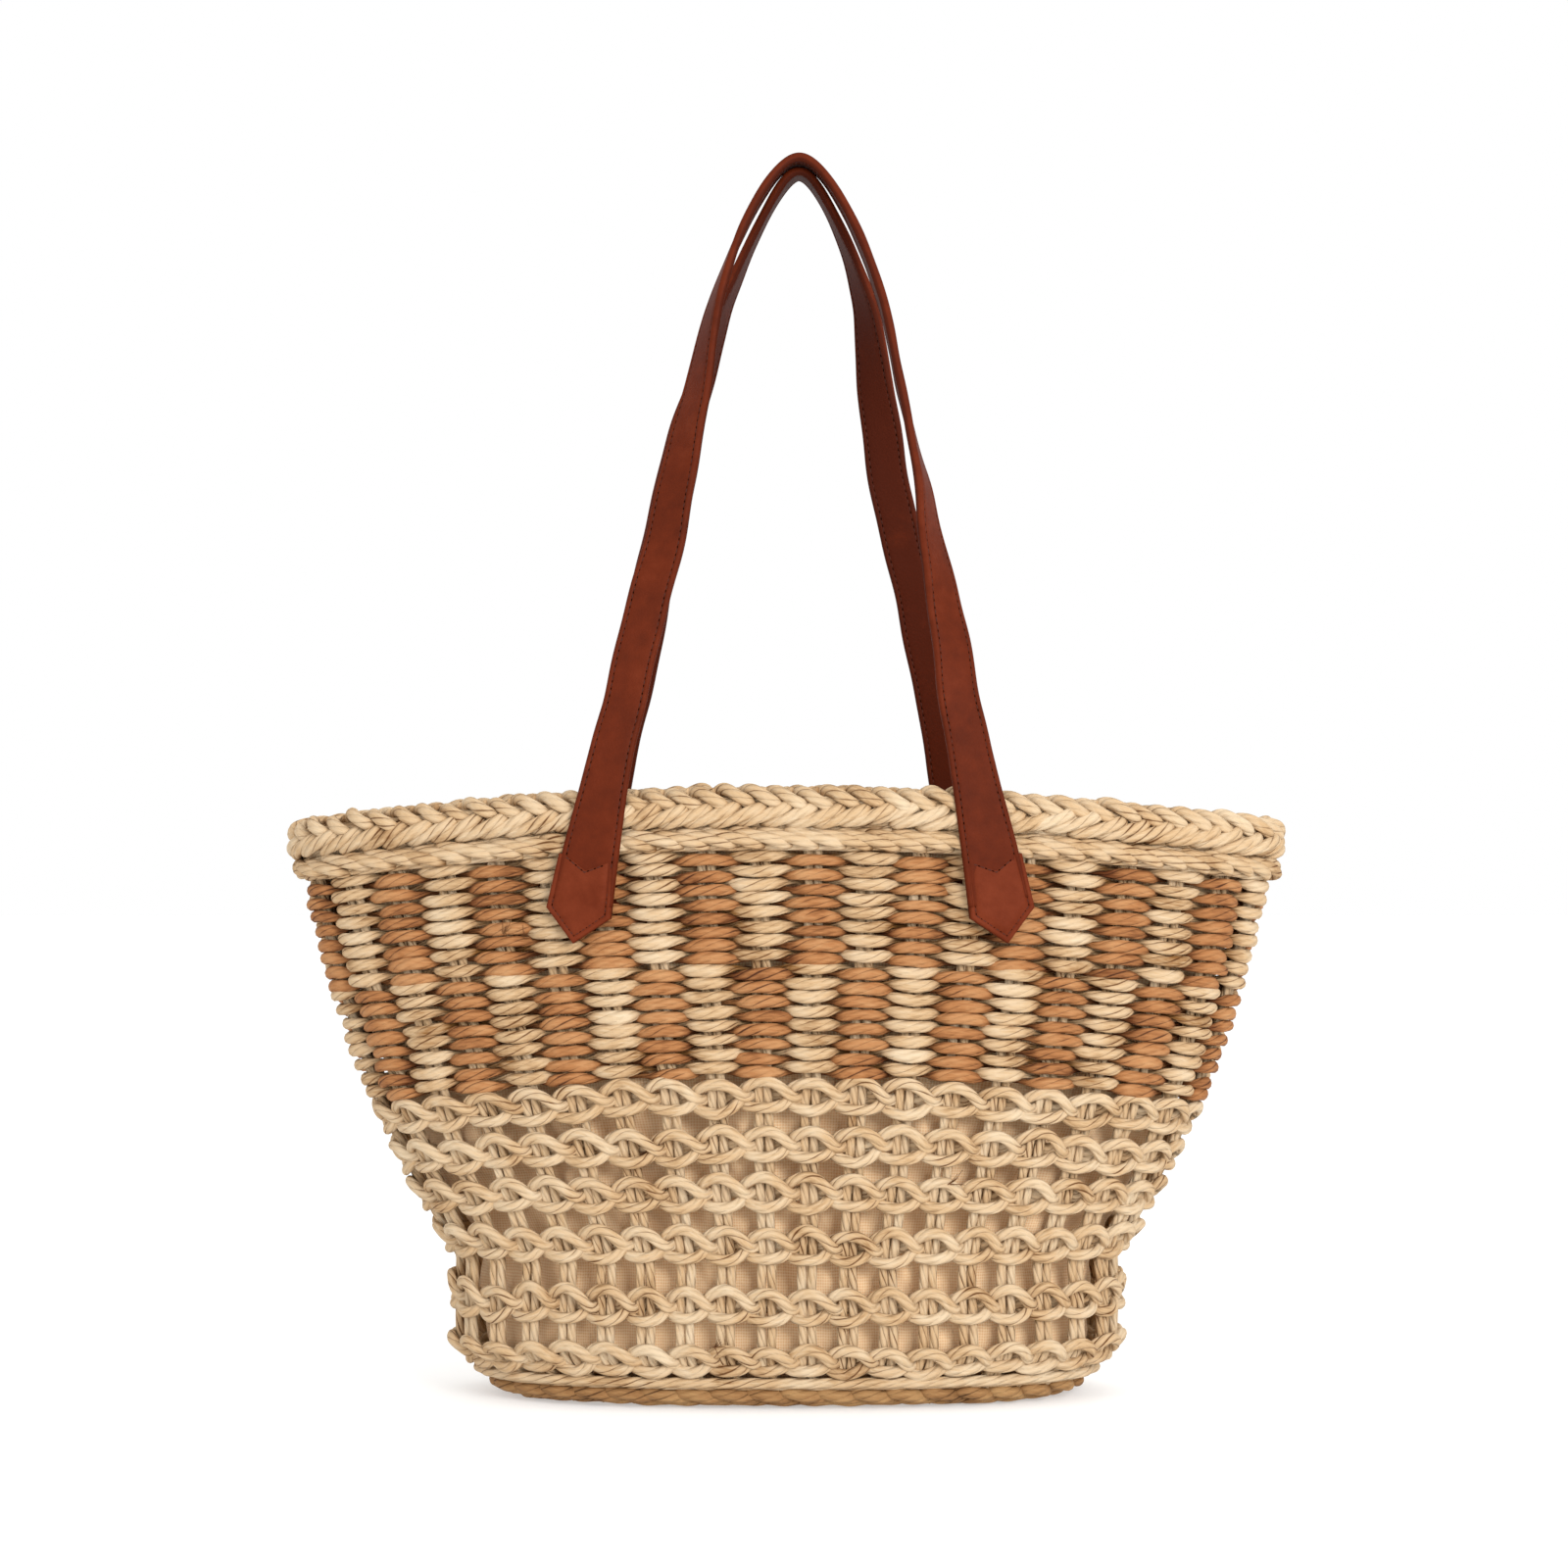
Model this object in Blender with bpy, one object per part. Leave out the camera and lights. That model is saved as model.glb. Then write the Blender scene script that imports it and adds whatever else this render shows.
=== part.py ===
"""Beach bag: an oval basket woven from paper straw on 40 stakes, with a lining and two leather handles.

Metres, +Z up, the front faces -Y, and the bag stands on z = 0. The wall is a family of level ovals
round the stake line. A place on it is a share of the way round, a height and an offset outwards.
"""

import math

import bpy
import numpy as np
from mathutils import Matrix, Vector

# Overall sizes, at the stake line. The weave adds WEAVE_THICKNESS outside it.
RIM_HEIGHT = 0.2720
RIM_HALF_WIDTH = 0.2195
BASE_HALF_WIDTH = 0.1505
HALF_DEPTH = 0.0615
BASE_ROUNDNESS = 2.5  # exponent of the oval at the base, where 2 is an ellipse
RIM_ROUNDNESS = 2.0
FLARE_START = 0.063  # height where the wall starts to widen
FLARE_BEND = 1.45  # over 1, the wall straightens up towards the rim
END_DIP = 0.015  # how far the rim drops at the two ends
CORNER_HEIGHT = 0.028  # the rounded corner between base and wall
CORNER_INSET_X = 0.032
CORNER_INSET_Y = 0.016
CORNER_BEND = 1.6

# Weave
STAKES = 40
STAKES_IN_GROUP = 5
STAKE_WIDTH = 0.0082
STAKE_THICKNESS = 0.0034
WEAVE_THICKNESS = 0.0046
RIM_PROUD = 0.0014  # how far the braid stands out past the weave
RIM_THICKNESS = WEAVE_THICKNESS + RIM_PROUD
GAP = 0.0004  # clearance between pieces that touch on the real bag
STAKE_SINK = 0.0008  # the stakes lie this far inside the stake line, clear of rows that bend past them
BASE_THICKNESS = 0.0060
BASE_TURN_TOP = 0.0098
BASE_LONG_STITCH_TOP = 0.0142
BASE_TWINED_TOP = 0.0299
BAND_ROWS = 8
BAND_ROW_PITCH = 0.00617
BAND_HEIGHT = BAND_ROWS * BAND_ROW_PITCH
RIM_ROW_HEIGHT = 0.0111
BRAID_HEIGHT = 0.0147
RIM_ROW_TOP = RIM_HEIGHT - BRAID_HEIGHT
RIM_ROW_BOTTOM = RIM_ROW_TOP - RIM_ROW_HEIGHT
BAND_BOTTOM = RIM_ROW_BOTTOM - 2 * BAND_HEIGHT
LACE_ROW_HEIGHT = 0.0148
LACE_ROW_DROPS = (0.0087, 0.0299, 0.0511, 0.0742, 0.1012)  # their middles, below the checked bands

# Lining
LINING_THICKNESS = 0.0012
LINING_FLOOR_HEIGHT = 0.0095
LINING_BELOW_RIM = 0.0230
LINING_TOP = RIM_HEIGHT - LINING_BELOW_RIM
HEM_HEIGHT = 0.0080
HEM_THICKNESS = 0.0026
LINING_CLEARANCE = 0.0008  # between the patches behind the stakes and the hem

# Handles
STRAP_WIDTH = 0.0190
LAYER_THICKNESS = 0.0018
HINGE_BELOW_RIM = 0.0255
HINGE_HEIGHT = RIM_HEIGHT - HINGE_BELOW_RIM
HINGE_HALF_SPACING = 0.0870
FRONT_CENTRE_X = 0.0015  # middle of each handle's two ends
BACK_CENTRE_X = -0.0030
FRONT_LOOP_RISE = 0.2866  # above the rim, to the strap's inner face
FRONT_BEND = (0.0380, 0.0850)  # half width and height of the oval that the top of the loop follows
FRONT_BOW = 0.0  # how far the middle of the loop leans to +X
BACK_LOOP_RISE = 0.2816
BACK_BEND = (0.0332, 0.0812)
BACK_BOW = -0.0080
APEX_SHIFT_X = 0.0055
LOOPS_OVERLAP = 0.0050  # how far each loop reaches past the middle plane, over or under the other
APEX_Y = STRAP_WIDTH / 2 - LOOPS_OVERLAP  # each loop stops short of the middle plane by this much
# Above the rim: where a leg turns from facing out to facing sideways.
FRONT_PINCH = (0.33, 0.070)  # how much the bend narrows at its top, and how far down
BACK_PINCH = (0.42, 0.0616)
PINCH_BEND = 1.3
FRONT_TWISTS = ((0.060, 0.280), (0.006, 0.185))
BACK_TWISTS = ((0.130, 0.280), (0.060, 0.280))
STRAP_OFFSET = RIM_THICKNESS + 0.0008  # inner face of the strap, outside the stake line
HINGE_CLEARANCE = 0.0010
HINGE_PROUD = 0.0020  # how far the line the handle folds about lies outside the strap

# Tabs, measured down from the hinge
TAB_OFFSET = WEAVE_THICKNESS + 0.0006
TAB_THICKNESS = 0.0032
CAP_THICKNESS = 0.0015
TAB_TOP_HALF_WIDTH = 0.0117
TAB_HALF_WIDTH = 0.0138
TAB_SHOULDER = 0.0280
TAB_TIP = 0.0410
CAP_TOP = 0.0025
CAP_NOTCH = 0.0080
BACKING_HALF_WIDTH = 0.0150
BACKING_TOP = 0.0030
BACKING_HEIGHT = 0.0340
BACKING_THICKNESS = 0.0014
BACKING_FACE = -STAKE_SINK - STAKE_THICKNESS - GAP
HEM_FACE = BACKING_FACE - BACKING_THICKNESS - LINING_CLEARANCE
LINING_OFFSET = HEM_FACE - HEM_THICKNESS
TAB_LEAN = math.radians(10)

CREAM = (0.72, 0.53, 0.34)
BROWN = (0.26, 0.12, 0.05)
LINING_TAN = (0.60, 0.42, 0.25)
LEATHER = (0.17, 0.045, 0.02)


def clear_scene():
    for obj in list(bpy.data.objects):
        bpy.data.objects.remove(obj, do_unlink=True)


def material(name, colour, roughness):
    found = bpy.data.materials.get(name)
    if found:
        return found
    made = bpy.data.materials.new(name)
    made.use_nodes = True
    shader = made.node_tree.nodes["Principled BSDF"]
    shader.inputs["Base Color"].default_value = (*colour, 1)
    shader.inputs["Roughness"].default_value = roughness
    shader.inputs["Metallic"].default_value = 0
    made.diffuse_color = (*colour, 1)
    return made


def solid(name, points, faces, look, parent=None):
    """A closed mesh object. Its points are in world space."""
    mesh = bpy.data.meshes.new(name)
    mesh.from_pydata([tuple(p) for p in points], [], [tuple(f) for f in faces])
    mesh.materials.append(look)
    obj = bpy.data.objects.new(name, mesh)
    bpy.context.scene.collection.objects.link(obj)
    if parent:
        obj.parent = parent
        obj.matrix_parent_inverse = Matrix.Translation(parent.location).inverted()
    return obj


# --- the wall ---------------------------------------------------------------


def half_width(height):
    """Half the width of the stake line at this height."""
    rise = min(max((height - FLARE_START) / (RIM_HEIGHT - FLARE_START), 0), 1)
    flare = 1 - (1 - rise) ** FLARE_BEND
    below = max(0, 1 - height / CORNER_HEIGHT) ** CORNER_BEND
    return BASE_HALF_WIDTH + (RIM_HALF_WIDTH - BASE_HALF_WIDTH) * flare - CORNER_INSET_X * below


def half_depth(height):
    below = max(0, 1 - height / CORNER_HEIGHT) ** CORNER_BEND
    return HALF_DEPTH - CORNER_INSET_Y * below


def outline(height, offset):
    """STAKES corners of the oval at this height, evenly spaced along it, moved outwards by offset."""
    wide, deep = half_width(height), half_depth(height)
    share = min(max(height / RIM_HEIGHT, 0), 1)
    power = 2 / (BASE_ROUNDNESS + (RIM_ROUNDNESS - BASE_ROUNDNESS) * share)
    turn = np.linspace(0, 2 * np.pi, 4001)
    x = wide * np.sign(np.cos(turn)) * np.abs(np.cos(turn)) ** power
    y = deep * np.sign(np.sin(turn)) * np.abs(np.sin(turn)) ** power
    way = np.concatenate([[0], np.cumsum(np.hypot(np.diff(x), np.diff(y)))])
    at = np.arange(STAKES) / STAKES * way[-1]
    corner_x, corner_y = np.interp(at, way, x), np.interp(at, way, y)
    # The outward direction at each corner is square to the line between its two neighbours.
    corners = np.stack([corner_x, corner_y])
    along = np.roll(corners, -1, axis=1) - np.roll(corners, 1, axis=1)
    along /= np.hypot(*along)
    corner_x = corner_x + along[1] * offset
    corner_y = corner_y - along[0] * offset
    upper = min(max((height - FLARE_START) / (BAND_BOTTOM - FLARE_START), 0), 1)
    dip = END_DIP * upper * (corner_x / wide) ** 2
    return np.stack([corner_x, corner_y, height - dip], axis=1)


def wall_levels(top):
    """Heights where pieces that rise with the wall have corners, from where it widens up to top."""
    return np.linspace(FLARE_START, BAND_BOTTOM, 4).tolist() + np.linspace(BAND_BOTTOM, top, 4)[1:].tolist()


def band_of_wall(name, profile, first, last, look):
    """A profile of (height, offset) carried from corner first to corner last, and closed at both ends.

    A band that goes all the way round is a ring with no ends.
    """
    whole = last - first == STAKES
    count = STAKES if whole else last - first + 1
    picked = [(first + i) % STAKES for i in range(count)]
    loops = [outline(height, offset)[picked] for height, offset in profile]
    if not whole:
        for loop in loops:
            for end, inner in ((0, 1), (-1, -2)):
                inward = loop[inner] - loop[end]
                loop[end] += inward / np.linalg.norm(inward) * GAP
    points = np.concatenate(loops)
    faces = []
    for level in range(len(loops)):
        above = (level + 1) % len(loops)
        for i in range(count if whole else count - 1):
            j = (i + 1) % count
            faces.append((level * count + i, level * count + j, above * count + j, above * count + i))
    if not whole:
        faces.append(tuple(level * count for level in range(len(loops))))
        faces.append(tuple(level * count + count - 1 for level in reversed(range(len(loops)))))
    area = sum(h0 * o1 - h1 * o0 for (h0, o0), (h1, o1) in zip(profile, profile[1:] + profile[:1]))
    if area > 0:
        faces = [face[::-1] for face in faces]
    return solid(name, points, faces, look)


def ring(name, profile, look):
    """A ring round the wall. The profile is a closed list of (height, offset), in either direction."""
    return band_of_wall(name, profile, 0, STAKES, look)


def bulged_ring(name, bottom, top, thickness, look):
    """A woven row: flat against the stakes and rounded outside."""
    rise = top - bottom
    return ring(
        name,
        [
            (bottom, GAP),
            (bottom, thickness * 0.55),
            (bottom + rise * 0.3, thickness),
            (bottom + rise * 0.7, thickness),
            (top, thickness * 0.55),
            (top, GAP),
        ],
        look,
    )


def check_band(name, bottom, look):
    """Eight rows as one band, with a groove between each two rows."""
    profile = []
    for row in range(BAND_ROWS):
        start = bottom + row * BAND_ROW_PITCH
        profile.append((start, WEAVE_THICKNESS * 0.7))
        profile.append((start + BAND_ROW_PITCH / 2, WEAVE_THICKNESS))
    top = bottom + BAND_ROWS * BAND_ROW_PITCH - GAP
    profile += [(top, WEAVE_THICKNESS * 0.7), (top, GAP), (bottom, GAP)]
    return ring(name, profile, look)


def stake_group(name, first, look):
    """Neighbouring flat stakes, each centred on one side of the oval, joined at the foot."""
    foot = [BASE_THICKNESS + GAP, BASE_TURN_TOP, BASE_LONG_STITCH_TOP, BASE_TWINED_TOP]
    levels = foot + wall_levels(RIM_ROW_TOP - GAP)
    points, index = [], {}
    for side, offset in enumerate((-STAKE_SINK, -STAKE_SINK - STAKE_THICKNESS)):
        for level, height in enumerate(levels):
            corners = outline(height, offset)
            for stake in range(STAKES_IN_GROUP):
                start, end = corners[(first + stake) % STAKES], corners[(first + stake + 1) % STAKES]
                along = (end - start) / np.linalg.norm(end - start)
                for edge, sign in enumerate((-1, 1)):
                    index[side, level, 2 * stake + edge] = len(points)
                    points.append((start + end) / 2 + along * sign * STAKE_WIDTH / 2)
    faces = []
    last_column, last_level = 2 * STAKES_IN_GROUP - 1, len(levels) - 1
    for level in range(last_level):
        for column in range(last_column):
            is_stake = column % 2 == 0
            if level > 0 and not is_stake:
                continue
            corner = [(level, column), (level, column + 1), (level + 1, column + 1), (level + 1, column)]
            faces.append([index[0, a, b] for a, b in corner])
            faces.append([index[1, a, b] for a, b in reversed(corner)])
            edges = []
            if level == 0:
                edges.append((corner[0], corner[1]))
            if level == last_level - 1 or not is_stake:
                edges.append((corner[2], corner[3]))
            if level > 0 or column == last_column - 1:
                edges.append((corner[1], corner[2]))
            if level > 0 or column == 0:
                edges.append((corner[3], corner[0]))
            for start, end in edges:
                faces.append([index[0, *end], index[0, *start], index[1, *start], index[1, *end]])
    return solid(name, points, faces, look)


def oval_plate(name, bottom, top, wall_height, offset, look):
    """A flat plate with the outline of the wall at wall_height."""
    edge = outline(wall_height, offset)
    count = len(edge)
    low, high = edge.copy(), edge.copy()
    low[:, 2], high[:, 2] = bottom, top
    points = np.concatenate([low, high])
    faces = [tuple(range(count))[::-1], tuple(range(count, 2 * count))]
    faces += [(i, (i + 1) % count, count + (i + 1) % count, count + i) for i in range(count)]
    return solid(name, points, faces, look)


# --- the handles ------------------------------------------------------------


def wall_line(height, across):
    """The stake line's distance from the middle plane, and its slope, at a distance across."""
    wide, deep = half_width(height), half_depth(height)
    power = BASE_ROUNDNESS + (RIM_ROUNDNESS - BASE_ROUNDNESS) * min(height / RIM_HEIGHT, 1)
    share = abs(across) / wide
    rest = 1 - share**power
    return deep * rest ** (1 / power), deep / wide * share ** (power - 1) * rest ** (1 / power - 1)


def wall_line_range(across):
    """The least and the greatest distance of the stake line, from the tip of a tab up to the rim."""
    found = [wall_line(height, across)[0] for height in np.linspace(HINGE_HEIGHT - TAB_TIP, RIM_HEIGHT, 9)]
    return min(found), max(found)


def strap_start_y(centre_x):
    """Distance of a handle's inner face from the middle plane, up to the rim."""
    nearest = HINGE_HALF_SPACING - abs(centre_x)
    return wall_line_range(nearest)[1] + STRAP_OFFSET


def strap_path(rise, bend, pinch, bow, shift, centre_x, twists):
    """Stations (centre, outward direction) of a strap, from left to right, as on the front handle."""
    start_y = strap_start_y(centre_x)
    bend_width, bend_height = bend
    middle = RIM_HEIGHT + rise - bend_height
    # The legs are straight and touch the oval of the bend.
    away, below = HINGE_HALF_SPACING / bend_width, (HINGE_HEIGHT - middle) / bend_height
    first = math.atan2(below, away) + math.acos(1 / math.hypot(away, below))
    leg_top = middle + bend_height * math.sin(first)
    slope = (HINGE_HALF_SPACING - bend_width * math.cos(first)) / (leg_top - HINGE_HEIGHT)
    legs = np.linspace(HINGE_HEIGHT + HINGE_CLEARANCE, RIM_HEIGHT, 3)
    legs = np.concatenate([legs, np.linspace(RIM_HEIGHT, leg_top, 15)[1:]])

    def station(side, x, height, sideways, up):
        """sideways and up give the direction square to the strap in the plane of the loop."""
        lean = max(0, height - RIM_HEIGHT) / rise
        soon = min(lean * 2, 1)
        x *= 1 - pinch[0] * max(0, 1 - rise * (1 - lean) / pinch[1]) ** PINCH_BEND
        x += centre_x + (shift - centre_x) * soon * soon * (3 - 2 * soon)
        x += bow * math.sin(math.pi * lean) ** 3
        low, high = twists[0 if side < 0 else 1]
        share = min(max((height - RIM_HEIGHT - low) / (high - low), 0), 1)
        first_turn = math.atan(wall_line(HINGE_HEIGHT, side * HINGE_HALF_SPACING + centre_x)[1])
        turn = first_turn + (math.pi / 2 - first_turn) * share * share * (3 - 2 * share)
        in_plane = Vector((sideways, 0, up)).normalized() * math.sin(turn)
        place = Vector((x, -(start_y + (APEX_Y - start_y) * lean), height))
        return place, in_plane + Vector((0, -math.cos(turn), 0))

    stations = []
    for side in (-1, 1):
        spread = [(side * (HINGE_HALF_SPACING - slope * (z - HINGE_HEIGHT)), z) for z in legs]
        stations.append([station(side, x, height, side, slope) for x, height in spread])
    top = []
    for angle in np.linspace(math.pi - first, first, 21)[1:-1]:
        across, up = math.cos(angle), math.sin(angle)
        side = -1 if across < 0 else 1
        x, height = bend_width * across, middle + bend_height * up
        top.append(station(side, x, height, across / bend_width, up / bend_height))
    return stations[0] + top + stations[1][::-1]


def strap_layer(name, stations, low, high, half_turn, look, parent):
    """One leather layer of a strap, between two distances out from its inner face."""
    points, faces = [], []
    centres = [centre for centre, _ in stations]
    for i, (centre, outward) in enumerate(stations):
        along = (centres[min(i + 1, len(centres) - 1)] - centres[max(i - 1, 0)]).normalized()
        normal = (outward - along * outward.dot(along)).normalized()
        across = along.cross(normal)
        for out, side in ((low, -1), (low, 1), (high, 1), (high, -1)):
            points.append(half_turn @ (centre + normal * out + across * side * STRAP_WIDTH / 2))
    for i in range(len(stations) - 1):
        a, b, c, d = range(4 * i, 4 * i + 4)
        # Both flat sides are split along the same diagonal, so that layers keep their gap where they twist.
        faces += [(a, b + 4, b), (a, a + 4, b + 4), (d, c, c + 4), (d, c + 4, d + 4)]
        faces += [(b, b + 4, c + 4, c), (a, d, d + 4, a + 4)]
    last = 4 * len(stations) - 4
    faces += [(0, 1, 2, 3), (last + 3, last + 2, last + 1, last)]
    return solid(name, points, faces, look, parent)


def plate(name, shape, x, line_y, low, high, half_turn, look):
    """A flat piece on the wall below a handle's end. The shape is (across, up from the hinge)."""
    side = math.copysign(1, x)
    place = (
        Matrix.Translation((x, -line_y, HINGE_HEIGHT))
        @ Matrix.Rotation(side * math.atan(wall_line(HINGE_HEIGHT, x)[1]), 4, "Z")
        @ Matrix.Rotation(-side * TAB_LEAN, 4, "Y")
    )
    count = len(shape)
    points = [half_turn @ (place @ Vector((u, -out, v))) for out in (low, high) for u, v in shape]
    faces = [tuple(range(count))[::-1], tuple(range(count, 2 * count))]
    faces += [(i, (i + 1) % count, count + (i + 1) % count, count + i) for i in range(count)]
    return solid(name, points, faces, look)


def handle(name, half_turn, centre_x, path, look):
    hinge = bpy.data.objects.new(name + "_hinge", None)
    axis_y = -(strap_start_y(centre_x) + 2 * LAYER_THICKNESS + GAP + HINGE_PROUD)
    hinge.location = half_turn @ Vector((0, axis_y, HINGE_HEIGHT))
    bpy.context.scene.collection.objects.link(hinge)
    strap_layer(name + "_strap_backing", path, 0, LAYER_THICKNESS, half_turn, look, hinge)
    outer = LAYER_THICKNESS + GAP
    strap_layer(name + "_strap_face", path, outer, outer + LAYER_THICKNESS, half_turn, look, hinge)
    wide, narrow = TAB_HALF_WIDTH, TAB_TOP_HALF_WIDTH
    arrow = [(-wide, -TAB_SHOULDER), (0, -TAB_TIP), (wide, -TAB_SHOULDER)]
    tab = [(-narrow, 0), *arrow, (narrow, 0)]
    cap = [(-narrow, -CAP_TOP), *arrow, (narrow, -CAP_TOP), (0, -CAP_NOTCH)]
    half = BACKING_HALF_WIDTH
    patch = [(-half, -BACKING_TOP), (-half, -BACKING_HEIGHT), (half, -BACKING_HEIGHT), (half, -BACKING_TOP)]
    tab_face = TAB_OFFSET + TAB_THICKNESS
    cap_low = tab_face + GAP
    patch_back = BACKING_FACE - BACKING_THICKNESS
    for word, side in (("left", -1), ("right", 1)):
        start = f"{name}_{word}_tab"
        x = side * HINGE_HALF_SPACING + centre_x
        innermost, outermost = wall_line_range(x)
        plate(start, tab, x, outermost, TAB_OFFSET, tab_face, half_turn, look)
        plate(start + "_cap", cap, x, outermost, cap_low, cap_low + CAP_THICKNESS, half_turn, look)
        plate(start + "_backing", patch, x, innermost, patch_back, BACKING_FACE, half_turn, look)


def main():
    clear_scene()
    cream = material("cream_straw", CREAM, 0.8)
    brown = material("brown_straw", BROWN, 0.8)
    cotton = material("cotton_lining", LINING_TAN, 0.9)
    leather = material("leather", LEATHER, 0.45)

    oval_plate("base_panel", 0, BASE_THICKNESS, 0, -GAP, cream)
    bulged_ring("base_turn_row", GAP, BASE_TURN_TOP - GAP, WEAVE_THICKNESS, brown)
    bulged_ring("base_long_stitch_row", BASE_TURN_TOP, BASE_LONG_STITCH_TOP - GAP, WEAVE_THICKNESS, cream)
    bulged_ring("base_twined_row", BASE_LONG_STITCH_TOP, BASE_TWINED_TOP, WEAVE_THICKNESS, cream)
    for number, drop in enumerate(LACE_ROW_DROPS, 1):
        centre, half = BAND_BOTTOM - drop, LACE_ROW_HEIGHT / 2
        bulged_ring(f"lace_row_{number}", centre - half, centre + half, WEAVE_THICKNESS, cream)
    check_band("check_band_lower", BAND_BOTTOM, brown)
    check_band("check_band_upper", BAND_BOTTOM + BAND_HEIGHT, cream)
    bulged_ring("rim_row", RIM_ROW_BOTTOM, RIM_ROW_TOP - GAP, WEAVE_THICKNESS, cream)
    braid = [
        (RIM_ROW_TOP, RIM_THICKNESS * 0.8),
        (RIM_ROW_TOP + 0.004, RIM_THICKNESS),
        (RIM_HEIGHT - 0.003, RIM_THICKNESS * 0.9),
        (RIM_HEIGHT, RIM_THICKNESS * 0.4),
        (RIM_HEIGHT, -STAKE_THICKNESS * 0.6),
        (RIM_HEIGHT - 0.003, -STAKE_THICKNESS),
        (RIM_ROW_TOP, -STAKE_THICKNESS),
    ]
    ring("rim_braid", braid, cream)
    for number, first in enumerate(range(0, STAKES, STAKES_IN_GROUP), 1):
        stake_group(f"stakes_{number}", first - STAKES_IN_GROUP // 2, cream)

    inner, outer = LINING_OFFSET, LINING_OFFSET + LINING_THICKNESS
    floor_top = LINING_FLOOR_HEIGHT + LINING_THICKNESS
    oval_plate("lining_floor", LINING_FLOOR_HEIGHT, floor_top, LINING_FLOOR_HEIGHT, outer, cotton)
    levels = [floor_top + GAP, BASE_TWINED_TOP, *wall_levels(LINING_TOP)]
    wall = [(height, outer) for height in levels] + [(height, inner) for height in levels[::-1]]
    band_of_wall("lining_back", wall, 0, STAKES // 2, cotton)
    band_of_wall("lining_front", wall, STAKES // 2, STAKES, cotton)
    low, high = LINING_TOP + GAP, LINING_TOP + GAP + HEM_HEIGHT
    ring("lining_hem", [(low, HEM_FACE), (high, HEM_FACE), (high, inner), (low, inner)], cotton)

    bend = (FRONT_LOOP_RISE, FRONT_BEND, FRONT_PINCH, FRONT_BOW)
    front = strap_path(*bend, APEX_SHIFT_X, FRONT_CENTRE_X, FRONT_TWISTS)
    handle("front", Matrix.Identity(4), FRONT_CENTRE_X, front, leather)
    # The back handle is the same thing turned half round, so what leans to +X there leans to -X here.
    bend = (BACK_LOOP_RISE, BACK_BEND, BACK_PINCH, -BACK_BOW)
    back = strap_path(*bend, -APEX_SHIFT_X, -BACK_CENTRE_X, BACK_TWISTS)
    handle("back", Matrix.Rotation(math.pi, 4, "Z"), -BACK_CENTRE_X, back, leather)


main()
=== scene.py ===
"""Beach bag woven from twisted paper straw, with a cotton lining and two leather handles.

The looks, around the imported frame. Metres, +Z up, the front faces -Y. A place on the wall is a share
of the way round, a height, and an offset outwards from the line of the stakes.
"""

import math

import bpy
import numpy as np
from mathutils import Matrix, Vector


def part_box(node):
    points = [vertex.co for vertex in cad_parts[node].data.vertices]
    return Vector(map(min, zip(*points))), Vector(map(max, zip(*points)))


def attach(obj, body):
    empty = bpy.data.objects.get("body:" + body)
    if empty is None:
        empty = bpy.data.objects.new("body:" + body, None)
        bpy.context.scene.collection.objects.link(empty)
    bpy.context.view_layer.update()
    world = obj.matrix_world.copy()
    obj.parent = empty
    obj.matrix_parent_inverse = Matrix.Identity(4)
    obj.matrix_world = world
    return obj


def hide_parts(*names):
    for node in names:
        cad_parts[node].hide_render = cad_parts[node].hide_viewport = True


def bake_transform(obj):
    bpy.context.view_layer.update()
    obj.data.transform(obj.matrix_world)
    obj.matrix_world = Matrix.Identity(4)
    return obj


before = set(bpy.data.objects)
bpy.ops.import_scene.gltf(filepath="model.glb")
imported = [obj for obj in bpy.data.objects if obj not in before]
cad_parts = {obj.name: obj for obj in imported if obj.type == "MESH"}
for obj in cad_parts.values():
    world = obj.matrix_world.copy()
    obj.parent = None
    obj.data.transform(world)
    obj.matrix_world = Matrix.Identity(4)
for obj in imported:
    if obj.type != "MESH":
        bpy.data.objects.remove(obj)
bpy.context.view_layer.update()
random = np.random.default_rng(11)
join = np.concatenate

MM = 0.001
FRONT, BACK = "front", "back"

# The wall, as the frame has it.
RIM_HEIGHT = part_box("rim_braid")[1][2]
RIM_HALF_WIDTH = 0.2195
BASE_HALF_WIDTH = 0.1505
HALF_DEPTH = 0.0615
BASE_ROUNDNESS = 2.5
RIM_ROUNDNESS = 2.0
FLARE_START = 0.063
FLARE_BEND = 1.45
END_DIP = 0.015
CORNER_HEIGHT = 0.028
CORNER_INSET_X = 0.032
CORNER_INSET_Y = 0.016
CORNER_BEND = 1.6
STAKES = 40
LACE_ROW_CENTRES = (0.1388, 0.1176, 0.0964, 0.0733, 0.0463)
BAND_BOTTOM = 0.1475
BAND_ROWS = 8
BAND_ROW_PITCH = 0.00617

# Cords
STAKE_CENTRE = -0.0024  # offset of the middle of the stakes
STAKE_CORD_RADIUS = 0.0021
STAKE_PAIR_SPREAD = 0.0043
PLY_TURN = 0.034  # length in which the twist of a cord goes round once
PLY_DEPTH = 0.055  # as a share of the cord's radius
WOVEN_FLAT = (0.9, 1.05)  # a woven strand is pressed a little against the wall
# Painted shade: where a cord thins, as where a strand dives behind the stakes, its tone falls and it is drawn
# darker.
THIN_DARKENS = 1.6  # how fast a cord's tone falls as it thins
TONE_POINTS = 10  # points of a cord's path to each random tone
ANY_PHASE = 6.28

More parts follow.
